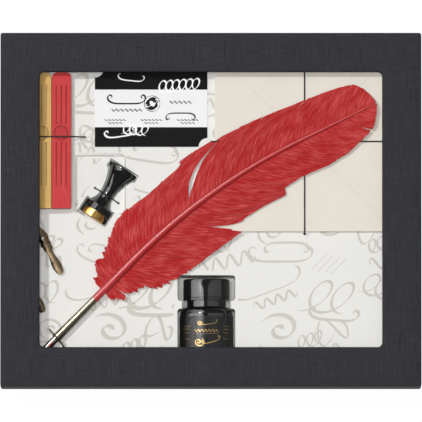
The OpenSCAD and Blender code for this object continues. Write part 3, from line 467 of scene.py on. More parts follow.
class Material(Shading):
    """A material with its shader, its output and the coordinates of the piece that it covers."""

    def __init__(self, name):
        self.material = bpy.data.materials.new(name)
        self.material.use_nodes = True
        super().__init__(self.material.node_tree)
        self.tree.nodes.clear()
        self.shader = self.node("BsdfPrincipled")
        self.end = self.node("OutputMaterial", {"Surface": self.shader.outputs[0]})
        self.shader.location, self.end.location = (300, 300), (620, 300)
        self.at = self.node("TexCoord").outputs

    def group(self, name, coordinates="Object", **inputs):
        """Adds a shared group and returns its outputs."""
        inputs["Vector"] = self.at[coordinates]
        return self.node("Group", inputs, node_tree=bpy.data.node_groups[name]).outputs

    def shade(self, **inputs):
        """Sets the shader's inputs."""
        set_inputs(self.tree, self.shader, inputs)

    def finish(self, shared, depth, **inputs):
        """Takes roughness and a bump of a depth in millimetres from a shared group; sets more of the shader."""
        bump = self.node("Bump", {"Strength": 1.0, "Distance": depth * MM, "Height": shared["Height"]})
        self.shade(Roughness=shared["Roughness"], Normal=bump.outputs[0], **inputs)


def paper_material(name, colour, fibres, mottling, roughness, depth=0.02):
    """Paper or card of one colour with its grain."""
    paper = Material(name)
    grain = paper.group("Paper grain", Colour=colour, Fibres=fibres, Mottling=mottling, Roughness=roughness)
    paper.finish(grain, depth, Base_Color=grain["Colour"], Specular_IOR_Level=0.15)


def hard_material(name, colour, roughness, variation, depth, size, metal=0.0, ior=1.5):
    """Plastic, glass or metal of one colour, uneven in sheen and slightly in tone."""
    hard = Material(name)
    wear = hard.group("Surface wear", Roughness=roughness, Variation=variation, Size=size)
    tone = hard.blend(wear["Mask"], tuple(0.8 * c for c in colour), colour)
    hard.finish(wear, depth, Base_Color=tone, Metallic=metal, IOR=ior)


def leaflet_material():
    """Leaflet paper printed black except for a white band across it."""
    paper, edge = Material("Leaflet paper"), 0.05
    across = paper.axes(paper.at["Object"])[1]
    low, high = LEAFLET_BAND
    band = paper.times(
        paper.ranged(across, (low - edge) * MM, (low + edge) * MM, 0.0, 1.0),
        paper.ranged(across, (high + edge) * MM, (high - edge) * MM, 0.0, 1.0),
    )
    black = paper.group("Paper grain", Colour=linear(14, 14, 15), Fibres=2600.0, Mottling=0.05, Roughness=0.5)
    colour = paper.blend(band, black["Colour"], (0.86, 0.86, 0.86))
    paper.finish(black, 0.01, Base_Color=colour, Specular_IOR_Level=0.06)


def wax_material(name, colour, metal):
    """Cast wax, with painted shade below its upper face: darker in its grooves and down its sides."""
    wax = Material(name)
    wear = wax.group("Surface wear", Roughness=0.42, Variation=0.1, Size=160.0)
    height = wax.axes(wax.at["Object"])[2]
    # Painted shade: the colour falls to 0.6 of itself from the upper face to half a millimetre below it, in the
    # grooves and on the sides
    painted_shade_mask = wax.ranged(height, WAX_FACE * MM, (WAX_FACE - 0.5) * MM, 0.0, 1.0)
    tone = wax.blend(wear["Mask"], tuple(0.88 * c for c in colour), colour)
    shaded_tone = wax.blend(painted_shade_mask, tone, tuple(0.6 * c for c in colour))
    wax.finish(wear, 0.05, Base_Color=shaded_tone, Metallic=metal, Specular_IOR_Level=0.3)


def linen_material(size):
    """Charcoal linen paper. Its threads follow the paper laid flat."""
    linen = Material("Linen paper")
    weave = linen.group("Linen weave", "UV", Colour=size.linen_colour, Pitch=size.thread, Contrast=0.28)
    linen.finish(weave, 0.06, Base_Color=weave["Colour"], Specular_IOR_Level=0.15)


def film_material():
    """Clear film that is seen a little more where it is looked at from the side."""
    film = Material("Window film")
    smear = film.group("Surface wear", Roughness=0.06, Variation=0.03, Size=25.0)
    facing = film.node("LayerWeight", {"Blend": 0.25}).outputs["Facing"]
    clear = film.ranged(facing, 0.0, 1.0, 0.01, 0.5)
    film.shade(Base_Color=(0.06, 0.062, 0.066), Roughness=smear["Roughness"], Alpha=clear, IOR=1.5)


def feather_material(size):
    """The feather's barbs, with paler lines along them that are partly their own tone and partly painted sheen."""
    feather = Material("Feather")
    streak = feather.group("Feather barbs", "UV", Deep_Colour=size.feather_colour, Pale_Colour=size.feather_pale_and_sheen)
    feather.finish(streak, 0.03, Base_Color=streak["Colour"], Specular_IOR_Level=0.06)


def make_materials(size):
    """Makes all materials of the set."""
    for make in (paper_grain_group, linen_group, wear_group, barb_group, leaflet_material, film_material):
        make()
    linen_material(size)
    feather_material(size)
    wax_material("Gold wax", size.gold_wax_colour, 0.3)
    wax_material("Red wax", size.red_wax_colour, 0.0)
    for name, colour, *grain in (  # then scale of the fibres, mottling, roughness and height of the bump in mm
        ("Charcoal paper", size.linen_colour, 2600.0, 0.06, 0.8),
        ("Grey board", linear(150, 147, 140), 1200.0, 0.2, 0.9, 0.04),
        ("Lining card", linear(70, 70, 74), 2600.0, 0.06, 0.8),
        ("White formed tray", size.tray_colour, 1500.0, 0.03, 0.6, 0.012),
        ("Pale print", size.print_colour, 1500.0, 0.05, 0.6),
        ("Fold shade", linear(214, 207, 194), 2600.0, 0.1, 0.8),
        ("Crease shade", linear(176, 173, 166), 1500.0, 0.05, 0.6),
        ("Laid envelope paper", size.envelope_colour, 2600.0, 0.07, 0.8),
        ("Black print", linear(14, 14, 15), 2600.0, 0.05, 0.5),
        ("White print", linear(250, 250, 250), 2600.0, 0.03, 0.5),
        ("Cap liner", linear(220, 220, 216), 2600.0, 0.06, 0.7),
    ):
        paper_material(name, colour, *grain)
    for name, colour, *finish in (  # then roughness, its variation, the bump in mm, scale, metal and refraction
        ("Black label", linear(13, 13, 14), 0.3, 0.05, 0.006, 200.0),
        ("Black elastic", linear(26, 26, 30), 0.7, 0.1, 0.02, 700.0),
        ("Gloss black", size.gloss_colour, 0.07, 0.01, 0.001, 30.0, 0.0, 1.6),
        ("Black glass", size.gloss_colour, 0.05, 0.008, 0.001, 25.0, 0.0, 1.6),
        ("Brushed steel", size.steel_colour, 0.24, 0.02, 0.0004, 120.0, 1.0),
        ("Polished steel", linear(214, 212, 206), 0.14, 0.05, 0.004, 200.0, 1.0),
        ("Turned brass", size.brass_colour, 0.26, 0.06, 0.004, 200.0, 1.0),
        ("Antique bronze", size.bronze_colour, 0.34, 0.12, 0.02, 300.0, 1.0),
        ("Red plastic", size.quill_colour, 0.3, 0.08, 0.01, 200.0),
        ("Quill", size.quill_colour, 0.4, 0.06, 0.004, 120.0, 0.0, 1.75),
        ("Ink", linear(8, 8, 12), 0.05, 0.02, 0.002, 30.0),
        ("Gold print", size.gold_print_colour, 0.35, 0.1, 0.004, 500.0, 0.6),
    ):
        hard_material(name, colour, *finish)


# Quill and feather: places are given by the distance s along the quill and d across it

# Where the barrel's mouth lies in the box, the pen's heading and rise in degrees, and the barrel's length
PEN = {"mouth": (-107.0, -88.9, 36.55), "heading": 45.5, "rise": 0.9346, "barrel": 38.5}
# The quill goes straight for its lead, bends with a radius by some degrees, and thins from root_d to end_d
QUILL = {"length": 238.5, "lead": 36.0, "bend_r": 424.0, "bend": 19.4, "root_d": 5.2, "end_d": 0.6}


def pen_to_box(points):
    """Turns points in the pen's own frame, mouth at the origin and feather towards +X, into the box's frame."""
    rise, heading = np.radians([PEN["rise"], PEN["heading"]])
    x, y, z = np.asarray(points, float).reshape(-1, 3).T
    along, up = x * np.cos(rise) - z * np.sin(rise), x * np.sin(rise) + z * np.cos(rise)
    turned = np.column_stack(
        [along * np.cos(heading) - y * np.sin(heading), along * np.sin(heading) + y * np.cos(heading), up]
    )
    return turned + np.array(PEN["mouth"])


def quill_place(s):
    """Place on the quill's line at a distance from the barrel, and its heading there: straight, one bend, straight."""
    s = np.asarray(s, float)
    bend = np.radians(QUILL["bend"])
    arc = QUILL["bend_r"] * bend
    turn = bend * np.clip((s - QUILL["lead"]) / arc, 0, 1)
    lead, tail = np.minimum(s, QUILL["lead"]), np.maximum(s - QUILL["lead"] - arc, 0)
    x = PEN["barrel"] + lead + QUILL["bend_r"] * np.sin(turn) + tail * np.cos(turn)
    y = -QUILL["bend_r"] * (1 - np.cos(turn)) - tail * np.sin(turn)
    return x, y, -turn


def quill_radius(s):
    """Radius of the quill, which thins towards its tip."""
    share = np.clip(1 - np.asarray(s, float) / QUILL["length"], 0, 1)
    return (QUILL["end_d"] + (QUILL["root_d"] - QUILL["end_d"]) * share**0.72) / 2


def beside_quill(s, d, height):
    """Points in the pen's frame at a distance along the quill and across it, at a height over its line."""
    x, y, turn = quill_place(s)
    return np.stack([x - d * np.sin(turn), y + d * np.cos(turn), height + 0 * s], axis=-1)


# The vanes' edges: distance from the quill at distances along it, each with the widest reach as drawn here.
# The near vane is parted; barbs that leave the quill beyond the parting end at the second edge.
FAR_EDGE = np.array([
    (0, 7), (9.1, 12), (13.4, 15.4), (16, 18.2), (20.7, 19.2), (29.3, 20), (35, 22.8), (41.2, 25.8), (53.1, 29.6),
    (67.8, 31.2), (85.7, 31.5), (100.7, 31.3), (115.7, 30.8), (127.3, 30), (129.1, 28.9), (140.7, 28.3), (155, 27.3),
    (169, 25.9), (186.5, 24.2), (196, 23.8), (208.7, 22.5), (219.5, 21.1), (229.8, 18.4), (234.5, 13.2), (237.2, 7),
    (238.6, 1),
])
NEAR_LOW_EDGE = np.array([
    (0, 5), (8, 9), (10.4, 12), (13.6, 15.5), (17.2, 18), (20.9, 18.8), (27, 18.6), (30.6, 21), (35.3, 25.5),
    (41.7, 29.2), (48.5, 31), (60.3, 32.2), (74.9, 32.8), (88.2, 33.5), (98.3, 33.5), (110, 33.5), (112, 20),
])
NEAR_HIGH_EDGE = np.array([
    (76, 40), (110, 27), (118, 27), (126, 27.2), (135, 27.4), (143, 27.9), (152, 28.6), (155, 24), (162, 23.4),
    (169, 22.8), (179, 23.4), (190, 23.9), (206, 22.2), (215, 19.4), (225, 16), (230.6, 12.8), (235.4, 6.2),
    (238.5, 1),
])
PARTING = 76.5

# How the barbs are laid, in millimetres

STEP = 0.4
LONGEST_BARB = 96
SECTIONS = 14  # along each barb
TUFTS_END = 28  # up to here along the quill the locks are narrow
LOOSE_START, LOOSE_LENGTH = 4, 34  # from here on, over this length, the barbs go from loose to smooth
TINY = 1e-9


def vane(name, side, scale, edge, high_edge, angles, bends, splits, droop, spacing, seed):
    """One vane as closed three-sided barbs. A barb leaves the quill at an angle and bows towards the tip:
    angle = first - bend * distance squared, down to a least angle, with first and bend by the place of its
    root. It ends where it meets the vane's edge. Neighbours gather in locks, and part along the splits. Its
    height falls away from the quill by droop(distance along the quill) * (distance across / 22 mm) ** 1.4."""
    rng = np.random.default_rng(seed)
    roots = np.arange(angles[0][0], 0.997 * QUILL["length"], spacing)
    count = len(roots)
    lock = np.cumsum(rng.random(count) < np.where(roots < TUFTS_END, 0.16, 0.07))
    locks = lock.max() + 1

    def by_barb(spread):
        return rng.normal(0, spread, count)

    def by_lock(spread):
        return rng.normal(0, spread, locks)[lock]

    middle = np.array([roots[lock == k].mean() if (lock == k).any() else 0.0 for k in range(locks)])[lock]
    half_lock = np.maximum(np.bincount(lock, minlength=locks)[lock] * spacing / 2, 0.1)
    inside = (roots - middle) / half_lock
    loose = 1 - np.clip((roots - LOOSE_START) / LOOSE_LENGTH, 0, 1)
    lean = by_barb(0.2 + 4 * loose**2) * 0.5 + by_lock(0.25)
    lean += by_lock(6) * loose**2

    # Each barb is laid step by step until it meets the edge
    travel = np.arange(0, LONGEST_BARB, STEP)
    bend = np.interp(roots, *np.transpose(bends))
    first = np.interp(roots, *np.transpose(angles)) + lean
    least = 17.0 if high_edge is None else 4.0
    turn = np.radians(np.maximum(first[:, None] - bend[:, None] * travel**2, least))
    s = roots[:, None] + np.cumsum(np.cos(turn), axis=1) * STEP
    d = quill_radius(roots)[:, None] * 0.85 + np.cumsum(np.sin(turn), axis=1) * STEP
    width = scale * np.interp(s, edge[:, 0], edge[:, 1])
    if high_edge is not None:
        above = scale * np.interp(s, high_edge[:, 0], high_edge[:, 1])
        width = np.where(roots[:, None] > PARTING, above, width)
    beyond = (d > width) & (travel > 1.2)
    stop = np.where(beyond.any(axis=1), beyond.argmax(axis=1), len(travel) - 1)
    share = 1 + by_barb(0.004) + by_lock(0.004)
    ragged = 0.42 * np.abs(inside) ** 1.1 + 0.05 * rng.random(count) + 0.26 * rng.random(locks)[lock]
    share -= loose**1.2 * ragged
    end = np.clip(stop * STEP * share, 1.5, travel[-1] - 1)

    # Sections from the root, t = 0, to the end, t = 1; the root is sunk in the quill
    t = np.append(np.linspace(0, 0.975, SECTIONS - 1), 1.0)
    at = end[:, None] * t / STEP
    low = np.clip(np.floor(at).astype(int), 0, len(travel) - 2)
    rest = at - low
    row = np.arange(count)[:, None]
    s, d = (laid[row, low] * (1 - rest) + laid[row, low + 1] * rest for laid in (s, d))
    s = np.where(t == 0, roots[:, None] - 0.3, s)
    d = np.where(t == 0, 0.0, d)
    gather = (middle - roots)[:, None] * (0.5 * loose**1.5)[:, None] * t**2.2
    wave = 0.1 * np.sin(d / 1.7 + 1.5 * np.sin(roots / 9)[:, None] + roots[:, None] / 11) * t
    s = s + gather + wave
    along_s, along_d = np.gradient(s, axis=1), np.gradient(d, axis=1)
    beside = np.gradient(s, axis=0) * along_d - np.gradient(d, axis=0) * along_s
    pitch = np.clip(np.abs(beside) / (np.hypot(along_s, along_d) + TINY), 0.3 * spacing, 2.4 * spacing)
    for start, across, far_at, wide, open_end in splits:
        # The split follows the barb that leaves the quill at start; barbs on both sides stand off from it
        away = np.sign(roots - start) * np.exp(-np.abs(roots - start) / (3 * wide))
        u = np.clip((d - across) / (far_at - across), 0, None)
        shape = np.clip(u, 0, 1.2) ** 0.9 if open_end else np.sin(np.pi * np.clip(u, 0, 1))
        s = s + away[:, None] * 0.8 * wide * shape

    # The three edges of each barb: two low ones beside its line and a ridge over it
    along_s, along_d = np.gradient(s, axis=1), np.gradient(d, axis=1)
    size = np.hypot(along_s, along_d) + TINY
    along_s, along_d = along_s / size, along_d / size
    half = (0.56 + 0.3 * t**3 + by_barb(0.03)[:, None]) * pitch * (1 - 0.1 * t**12)
    half[:, -1] *= 0.5
    height = 0.3 * np.sin(np.pi * np.clip(d / 32, 0, 1))
    height -= np.interp(s, *np.transpose(droop)) * np.clip(d / 22, 0, 1.3) ** 1.4
    height -= 0.35 * quill_radius(s) * (1 - t)
    height += (by_lock(0.07) + by_barb(0.03))[:, None] * t
    tilt = (by_lock(0.12) + 0.12)[:, None] * half
    ridge = 0.3 * half + 0.05
    left = beside_quill(s - along_d * half, side * (d + along_s * half), height - tilt)
    top = beside_quill(s, side * d, height + ridge)
    right = beside_quill(s + along_d * half, side * (d - along_s * half), height + tilt)
    rings = np.stack([left, top, right][::side], axis=2)
    u = np.repeat((end[:, None] * t / 12)[:, :, None], 3, axis=2)
    v = np.broadcast_to(np.arange(count)[:, None, None], u.shape)
    faces = []
    for start in range(0, u.size, 3 * SECTIONS):
        last = start + 3 * (SECTIONS - 1)
        faces += grid_faces(SECTIONS, 3, close_columns=True, start=start)
        faces += [[start + 2, start + 1, start], [last, last + 1, last + 2]]
    return add_mesh(name, pen_to_box(rings), faces, np.stack([u, v], axis=-1).reshape(-1, 2), smooth=False)


# Pen strokes


def swash(length, curl):
    """An S-shaped flourish: its heading is 0.9 curl times the fourth power of the way from middle to end."""
    u = np.linspace(-1, 1, 90)
    heading = curl * np.abs(u) ** 4 * 0.9
    line = np.column_stack([np.cumsum(np.cos(heading)), np.cumsum(np.sin(heading) * np.sign(u))])
    line -= line.mean(axis=0)
    return line * length / np.ptp(line[:, 0])


def ovals(count, pitch, tall, lean=0.35):
    """Running ovals: a circle drawn while its centre moves along, leaning forwards."""
    t = np.linspace(0, TURN * count, 30 * count)
    y = -0.5 * tall * np.cos(t)
    x = pitch * (t / TURN - count / 2) + 0.42 * tall * np.sin(t)
    return np.column_stack([x + lean * y, y])


def waves(count, pitch, tall):
    """A row of waves."""
    t = np.linspace(0, TURN * count, 24 * count)
    return np.column_stack([pitch * (t / TURN - count / 2), 0.5 * tall * np.sin(t)])


def knot(wide):
    """A figure of eight that grows from the middle."""
    t = np.linspace(0.4, TURN, 60)
    grow = (0.3 + 0.7 * t / t[-1]) * wide / 2
    return np.column_stack([grow * np.sin(t), grow * 0.7 * np.sin(2 * t)])


def spiral(wide, turns):
    """A spiral that widens towards its end."""
    t = np.linspace(0, TURN * turns, int(40 * turns))
    grow = wide / 2 * (0.12 + 0.88 * (t / t[-1]) ** 1.4)
    return np.column_stack([grow * np.cos(t), 0.8 * grow * np.sin(t)])


def drill(count, pitch, tall):
    """Short slanted strokes side by side, each a line of its own."""
    v = np.linspace(-0.5, 0.5, 8) * tall
    slant = 0.3 * v + 0.12 * tall * np.sin(3.1 * v / tall)
    return [np.column_stack([(k - (count - 1) / 2) * pitch + slant, v]) for k in range(count)]


def circle(radius):
    """A circle that ends where it starts."""
    t = np.linspace(0, TURN, 49)
    return np.column_stack([radius * np.cos(t), radius * np.sin(t)])


def moved(line, x, y, degrees=0.0):
    """A line turned about its middle and set down at a place."""
    a = np.radians(degrees)
    return line @ np.array([[np.cos(a), np.sin(a)], [-np.sin(a), np.cos(a)]]) + (x, y)


def print_strokes(name, strokes, surface, least=0.22):
    """Ribbons along lines, as a broad nib held at 40 degrees draws them: the width is the nib's width times the
    sine of the angle between line and nib, and no less than a share of it. surface turns flat places into points
    and says which are printed on."""
    points, faces = [], []
    nib = np.radians(40)
    edge = np.array([np.cos(nib), np.sin(nib)])
    start, climb = 0, 0.04
    for line, width in strokes:
        along = np.gradient(line, axis=0)
        along /= np.linalg.norm(along, axis=1)[:, None] + TINY
        across = np.column_stack([-along[:, 1], along[:, 0]])
        u = np.linspace(0, 1, len(line))
        taper = np.clip(np.minimum(u, 1 - u) * 14, 0.15, 1) ** 0.6
        half = (0.5 * width * (least + (1 - least) * np.abs(across @ edge)) * taper)[:, None]
        both = np.stack([line + across * half, line - across * half], axis=1)
        placed, printed = surface(both.reshape(-1, 2))
        placed[:, 2] += np.repeat(u, 2) * climb
        points.append(placed)
        printed = printed.reshape(-1, 2).all(axis=1)
        for k in np.nonzero(printed[:-1] & printed[1:])[0]:
            a = start + 2 * k
            faces.append((a, a + 1, a + 3, a + 2))
        start += 2 * len(line)
    points = np.concatenate(points)
    used = np.unique(np.array(faces))
    renumber = np.zeros(len(points), int)
    renumber[used] = np.arange(len(used))
    return add_mesh(name, points[used], renumber[np.array(faces)].tolist())


def tray_surface(flat):
    """Height of the tray under a place, and whether the tray is printed there: not in or beside its deep wells."""
    x, y = flat.T
    ink, bend = 0.03, 0.9  # height of the print over the tray, radius of the wells' edges

    def inside(middle_x, middle_y, width, length, edge):
        return (np.abs(x - middle_x) < width / 2 + edge) & (np.abs(y - middle_y) < length / 2 + edge)

    shallow = inside(*SHALLOW_WELL, -bend)
    rim = inside(*SHALLOW_WELL, bend) & ~shallow
    turn = np.radians(SEAL_HEADING)
    dx, dy = x - SEAL[0], y - SEAL[1]
    along, beside = dx * np.cos(turn) + dy * np.sin(turn), -dx * np.sin(turn) + dy * np.cos(turn)
    start, end, half = SEAL_POCKET
    pocket = (along > start) & (along < end) & (np.abs(beside) < half)
    wells = inside(*WAX_WELL, bend) | inside(*BOTTLE_WELL, bend) | pocket
    height = np.where(shallow, SHALLOW_FACE + ink, TRAY_FACE + ink)
    return np.column_stack([x, y, height]), ~(wells | rim) & inside(0, 0, *TRAY_SIZE, 0)


def flat_surface(height):
    """A flat face at a height, printed on everywhere."""
    return lambda flat: (np.column_stack([flat, np.full(len(flat), height)]), np.ones(len(flat), bool))


def bottle_surface(flat):
    """The label's face: the flat place is the way round the bottle from its top, and the place along it."""
    radius = 18.32
    angle = flat[:, 0] / radius
    x, _, z = BOTTLE_AXIS
    placed = np.column_stack([x + radius * np.sin(angle), flat[:, 1], z + radius * np.cos(angle)])
    return placed, np.ones(len(flat), bool)


# Pieces


def paper_cover(name, rows):
    """A paper skin, closed on itself, through rounded rectangles (width, length, radius, height, run). The
    surface's own coordinates are the paper laid flat: the outline's place, moved outwards by the run."""
    points, uv = [], []
    for width, length, radius, height, run in rows:
        loop, outward = rounded_loop(width, length, radius)
        points.append(np.column_stack([loop, np.full(len(loop), height)]))
        uv.append((loop + outward * run) * MM)
    faces = grid_faces(len(rows), len(points[0]), close_rows=True, close_columns=True)
    return sharpen(add_mesh(name, np.vstack(points), faces, np.vstack(uv)), 50)


def row_maker(width, length, radius, least, sign):
    """A function for rows of a rectangle moved by a distance, outwards for sign 1 and inwards for sign -1."""

    def row(move, height, run):
        return (width + 2 * sign * move, length + 2 * sign * move, max(radius + sign * move, least), height, run)

    return row


class SetOperator(bpy.types.Operator):
    """Shared ground of the set's operators."""

    bl_options = {"REGISTER", "UNDO"}

    @property
    def size(self):
        return bpy.context.scene.calligraphy_set


class CALLIGRAPHY_OT_camera(SetOperator):
    """Puts the camera where the photo was taken from: high over the box, a little to its front"""

    bl_idname = "calligraphy.camera"
    bl_label = "Camera"

    def execute(self, context):
        sensor, lens, frame_width = 36.0, 1600.0, 0.2906
        data = bpy.data.cameras.new("Camera")
        data.sensor_width = sensor
        data.lens = lens
        data.clip_end = 400.0
        camera = add_object("Camera", data)
        target = Vector((0.0001, -0.00114, 0.046))
        tilt = np.radians(4.2)
        camera.location = target + frame_width / sensor * lens * Vector((0, -np.sin(tilt), np.cos(tilt)))
        camera.rotation_euler = (tilt, 0, 0)
        context.scene.camera = camera
        return {"FINISHED"}


class CALLIGRAPHY_OT_materials(SetOperator):
    """Makes the set's materials and dresses the CAD pieces that keep their own shape"""

    bl_idname = "calligraphy.materials"
    bl_label = "Materials"

    def execute(self, context):
        make_materials(self.size)
        for node, material in {
            "base_bottom_sheet": "Charcoal paper", "base_board": "Grey board", "lid_board": "Grey board",
            "lid_lining": "Lining card", "window_film": "Window film", "leaflet": "Leaflet paper",
            "envelope_stack": "Laid envelope paper", "top_envelope": "Laid envelope paper",
            "seal_stud": "Polished steel", "ink": "Ink", "cap_liner": "Cap liner", "insert_tray": "White formed tray",
        }.items():
            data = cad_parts[node].data
            data.materials.clear()
            data.materials.append(bpy.data.materials[material])
        return {"FINISHED"}


class CALLIGRAPHY_OT_cords(SetOperator):
    """Draws the elastic cords over the envelopes and the ties over wax, seal and pen"""

    bl_idname = "calligraphy.cords"
    bl_label = "Cords and ties"

    def execute(self, context):
        elastic, tie = self.size.elastic / MM, self.size.tie / MM
        hole, low, level = 63.6, 29.4, 37.1  # distance of a cord's holes, height of its ends and of its middle
        high = level + 1.1  # where one cord crosses over the other
        across = [[-hole, low], [-hole, level], [hole, level], [hole, low]]
        hump = [[-9, level], [-4.5, level + 0.1], [-2, high], [2, high], [4.5, level + 0.1], [9, level]]
        along = [*across[:2], *hump, *across[2:]]
        over_wax = [[-127.95, low], [-127.95, 33.7], [-124.0, 38.6], [-95.8, 38.6], [-86.7, 33.7], [-86.7, low]]
        seal_tie = over_bar(reach=9.6, low=26.4, high=30.6, bar_z=30.3, bar_r=4.2, tie=tie)
        pen_tie = over_bar(reach=7.6, low=low, high=33.6, bar_z=36.57, bar_r=3.35, tie=tie)
        at_waist = further(SEAL, SEAL_HEADING, 18.4)
        at_mouth = further(PEN["mouth"], PEN["heading"], 1.1)
        for name, path, thick, body, node in (
            ("Cord_across", upright(bend_route(across, 1.6, 8), ENVELOPES, 0), elastic, "envelopes", "cord_across"),
            ("Cord_along", upright(bend_route(along, 1.6, 8), ENVELOPES, 90), elastic, "envelopes", "cord_along"),
            ("Wax_tie", upright(bend_route(over_wax, 0.9), (0, 50.9), 0), tie, "wax", "wax_tie"),
            ("Seal_tie", upright(seal_tie, at_waist, SEAL_HEADING - 90), tie, "seal", "seal_tie"),
            ("Pen_tie", upright(pen_tie, at_mouth, -50), tie, "pen", "pen_tie"),
        ):
            piece = sharpen(add_mesh(name, *sweep(path, thick / 2)), 60)
            place(piece, body, "elastic", "Black elastic", node)
            if body == "envelopes":
                # A round elastic through the tray, with both ends held under it
                route = np.asarray(path) * MM
        return {"FINISHED"}


class CALLIGRAPHY_OT_covers(SetOperator):
    """Draws the linen paper over the lid and the base"""

    bl_idname = "calligraphy.covers"
    bl_label = "Paper covers"

    def execute(self, context):
        size = self.size
        width, length, top = size.lid_width / MM, size.lid_length / MM, size.box_height / MM
        paper, fold, rim = size.paper / MM, size.fold / MM, (size.box_height - size.skirt) / MM
        margin = size.window_margin / MM
        # Distances from the outer face: the board's inner side, and the paper turned in over it
        side, turned = 2.3, 2.6

        def bend(row, z, degrees, runs):
            """Rows round an outer edge of the board, while the paper's run goes from one length to another."""
            angles, run = np.radians(np.linspace(*degrees, 5)), np.linspace(*runs, 5)
            return [row(fold - fold * np.cos(a), z + fold * np.sin(a), r) for a, r in zip(angles, run)]

        outer = row_maker(width, length, 1.6, 0.2, -1)
        inner = row_maker(width - 2 * margin, length - 2 * margin, 3.2, 0.3, 1)
        height, hem, lip = top - rim, 15, 1.1  # the wall, the paper turned in over it, the window edge's radius
        rows = [
            outer(turned, rim + hem, height + 17), outer(turned, rim + 0.3, height + 2.6),
            outer(side, rim, height + 2.3),
            *bend(outer, rim + fold, (-90, 0), (height + fold, height - fold)),
            *bend(outer, top - fold, (0, 90), (fold, 0)),
        ]
        rows += [inner(lip + k * (margin - fold - lip) / 3, top, 0) for k in (2, 1)]
        for a in np.radians([0, 18, 36, 54, 72, 90]):
            rows.append(inner(lip - lip * np.sin(a), top - lip + lip * np.cos(a), -lip * a))
        under, flap = 43.7, 43.4  # the board's underside and the paper turned in under it
        rows += [
            inner(0, under, -2.3), inner(0.3, flap, -2.6), inner(12.3, flap, -14.6), inner(12.3, under, -14.6),
            inner(0.3, under, -2.3), inner(0.3, top - paper, -0.3),
            outer(paper, top - paper, 0), outer(paper, rim + paper, height), outer(side, rim + paper, height + 2),
            outer(side, rim + hem, height + 17),
        ]
        place(paper_cover("Lid_cover", rows), "lid", "box_paper", "Linen paper", "lid_wrap")

        base = row_maker(284.0, 238.0, 1.3, 0.2, -1)
        foot, rim, hem = 0.3, 42.85, 27.85  # heights of the paper's foot, its rim and its turned-in end
        rows = [
            base(12, foot, 54), base(fold, foot, 43.2), *bend(base, foot + fold, (-90, 0), (43.2, 42.2))[1:],
            *bend(base, rim - fold, (0, 90), (fold, 0)), base(2.2, rim, 0), base(turned, rim - 0.4, -0.5),
            base(turned, hem, -15), base(side, hem, -15), base(side, rim - 0.3, -0.5), base(paper, rim - 0.3, 0),
            base(paper, 0.6, 42.5), base(12, 0.6, 54),
        ]
        place(paper_cover("Base_cover", rows), "base", "box_paper", "Linen paper", "base_side_wrap")
        return {"FINISHED"}


class CALLIGRAPHY_OT_small_pieces(SetOperator):
    """Rounds the edges of the tray and the small pieces, and turns the bottle and its cap"""

    bl_idname = "calligraphy.small_pieces"
    bl_label = "Wax, seal, pen, bottle and tray"

    def execute(self, context):
        for name, node, width, segments, body, slot, material in (
            ("Gold_wax_stick", "wax_stick_gold", 0.5, 3, "wax", "gold_wax", "Gold wax"),
            ("Red_wax_stick", "wax_stick_red", 0.5, 3, "wax", "red_wax", "Red wax"),
            ("Seal_handle", "seal_handle", 0.35, 3, "seal", "black_gloss", "Gloss black"),
            ("Seal_die", "seal_die", 0.12, 2, "die", "brass", "Turned brass"),
            ("Pen_barrel", "pen_barrel", 0.1, 2, "pen", "steel", "Brushed steel"),
            ("Pen_plug", "pen_plug", 0, 2, "pen", "red_plastic", "Red plastic"),
            ("Pen_nib", "pen_nib", 0, 2, "nib", "polished_steel", "Polished steel"),
            ("Spare_nib_upper", "spare_nib_upper", 0, 2, "spare_nibs", "bronze", "Antique bronze"),
            ("Spare_nib_lower", "spare_nib_lower", 0, 2, "spare_nibs", "bronze", "Antique bronze"),
            ("Bottle_label", "bottle_label", 0, 2, "bottle", "label_paper", "Black label"),
            ("Tamper_ring", "tamper_ring", 0.2, 3, "bottle", "black_gloss", "Gloss black"),
            ("Tray", "insert_tray", 0.75, 3, "base", "tray", "White formed tray"),
        ):
            place(soften(name, node, width, segments), body, slot, material, node)

        # Profiles give radius and distance from the bottle's foot
        def shoulder(body, neck):
            return [[neck + (body - neck) * np.sqrt(1 - t * t), 37.3 + 5.5 * t] for t in np.linspace(0, 1, 13)]

        wall, neck, thread, bore, foot_r = 18.15, 13.3, 11.6, 10.0, 1.5  # radii of the bottle
        foot = [
            [wall - foot_r + foot_r * np.sin(a), foot_r - foot_r * np.cos(a)]
            for a in np.radians([0, 18, 36, 54, 72, 90])
        ]
        glass = [
            [0, 0.6], [13.15, 0.6], [14.65, 0], *foot, *shoulder(wall, neck), [neck, 48.1], [thread, 48.1],
            [thread, 59.5], [bore, 59.5], [bore, 42.8], *shoulder(16.55, bore)[::-1], [16.55, 3.0], [0, 3.0],
        ]
        place(lathe("Ink_bottle", glass, BOTTLE_AXIS), "bottle", "bottle_glass", "Black glass", "ink_bottle")
        cap_r, top, hollow = 15.9, 61.95, 12.7  # the cap's radius, its top and the radius inside it
        rim = [[cap_r - 1 + np.cos(a), top - 1 + np.sin(a)] for a in np.radians([0, 15, 30, 45, 60, 75, 90])]
        cap = [[0, 60.55], [hollow, 60.55], [hollow, 48.95], [15.7, 48.95], [cap_r, 49.15], *rim, [0, top]]
        place(lathe("Bottle_cap", cap, BOTTLE_AXIS), "cap", "black_gloss", "Gloss black", "bottle_cap")
        return {"FINISHED"}


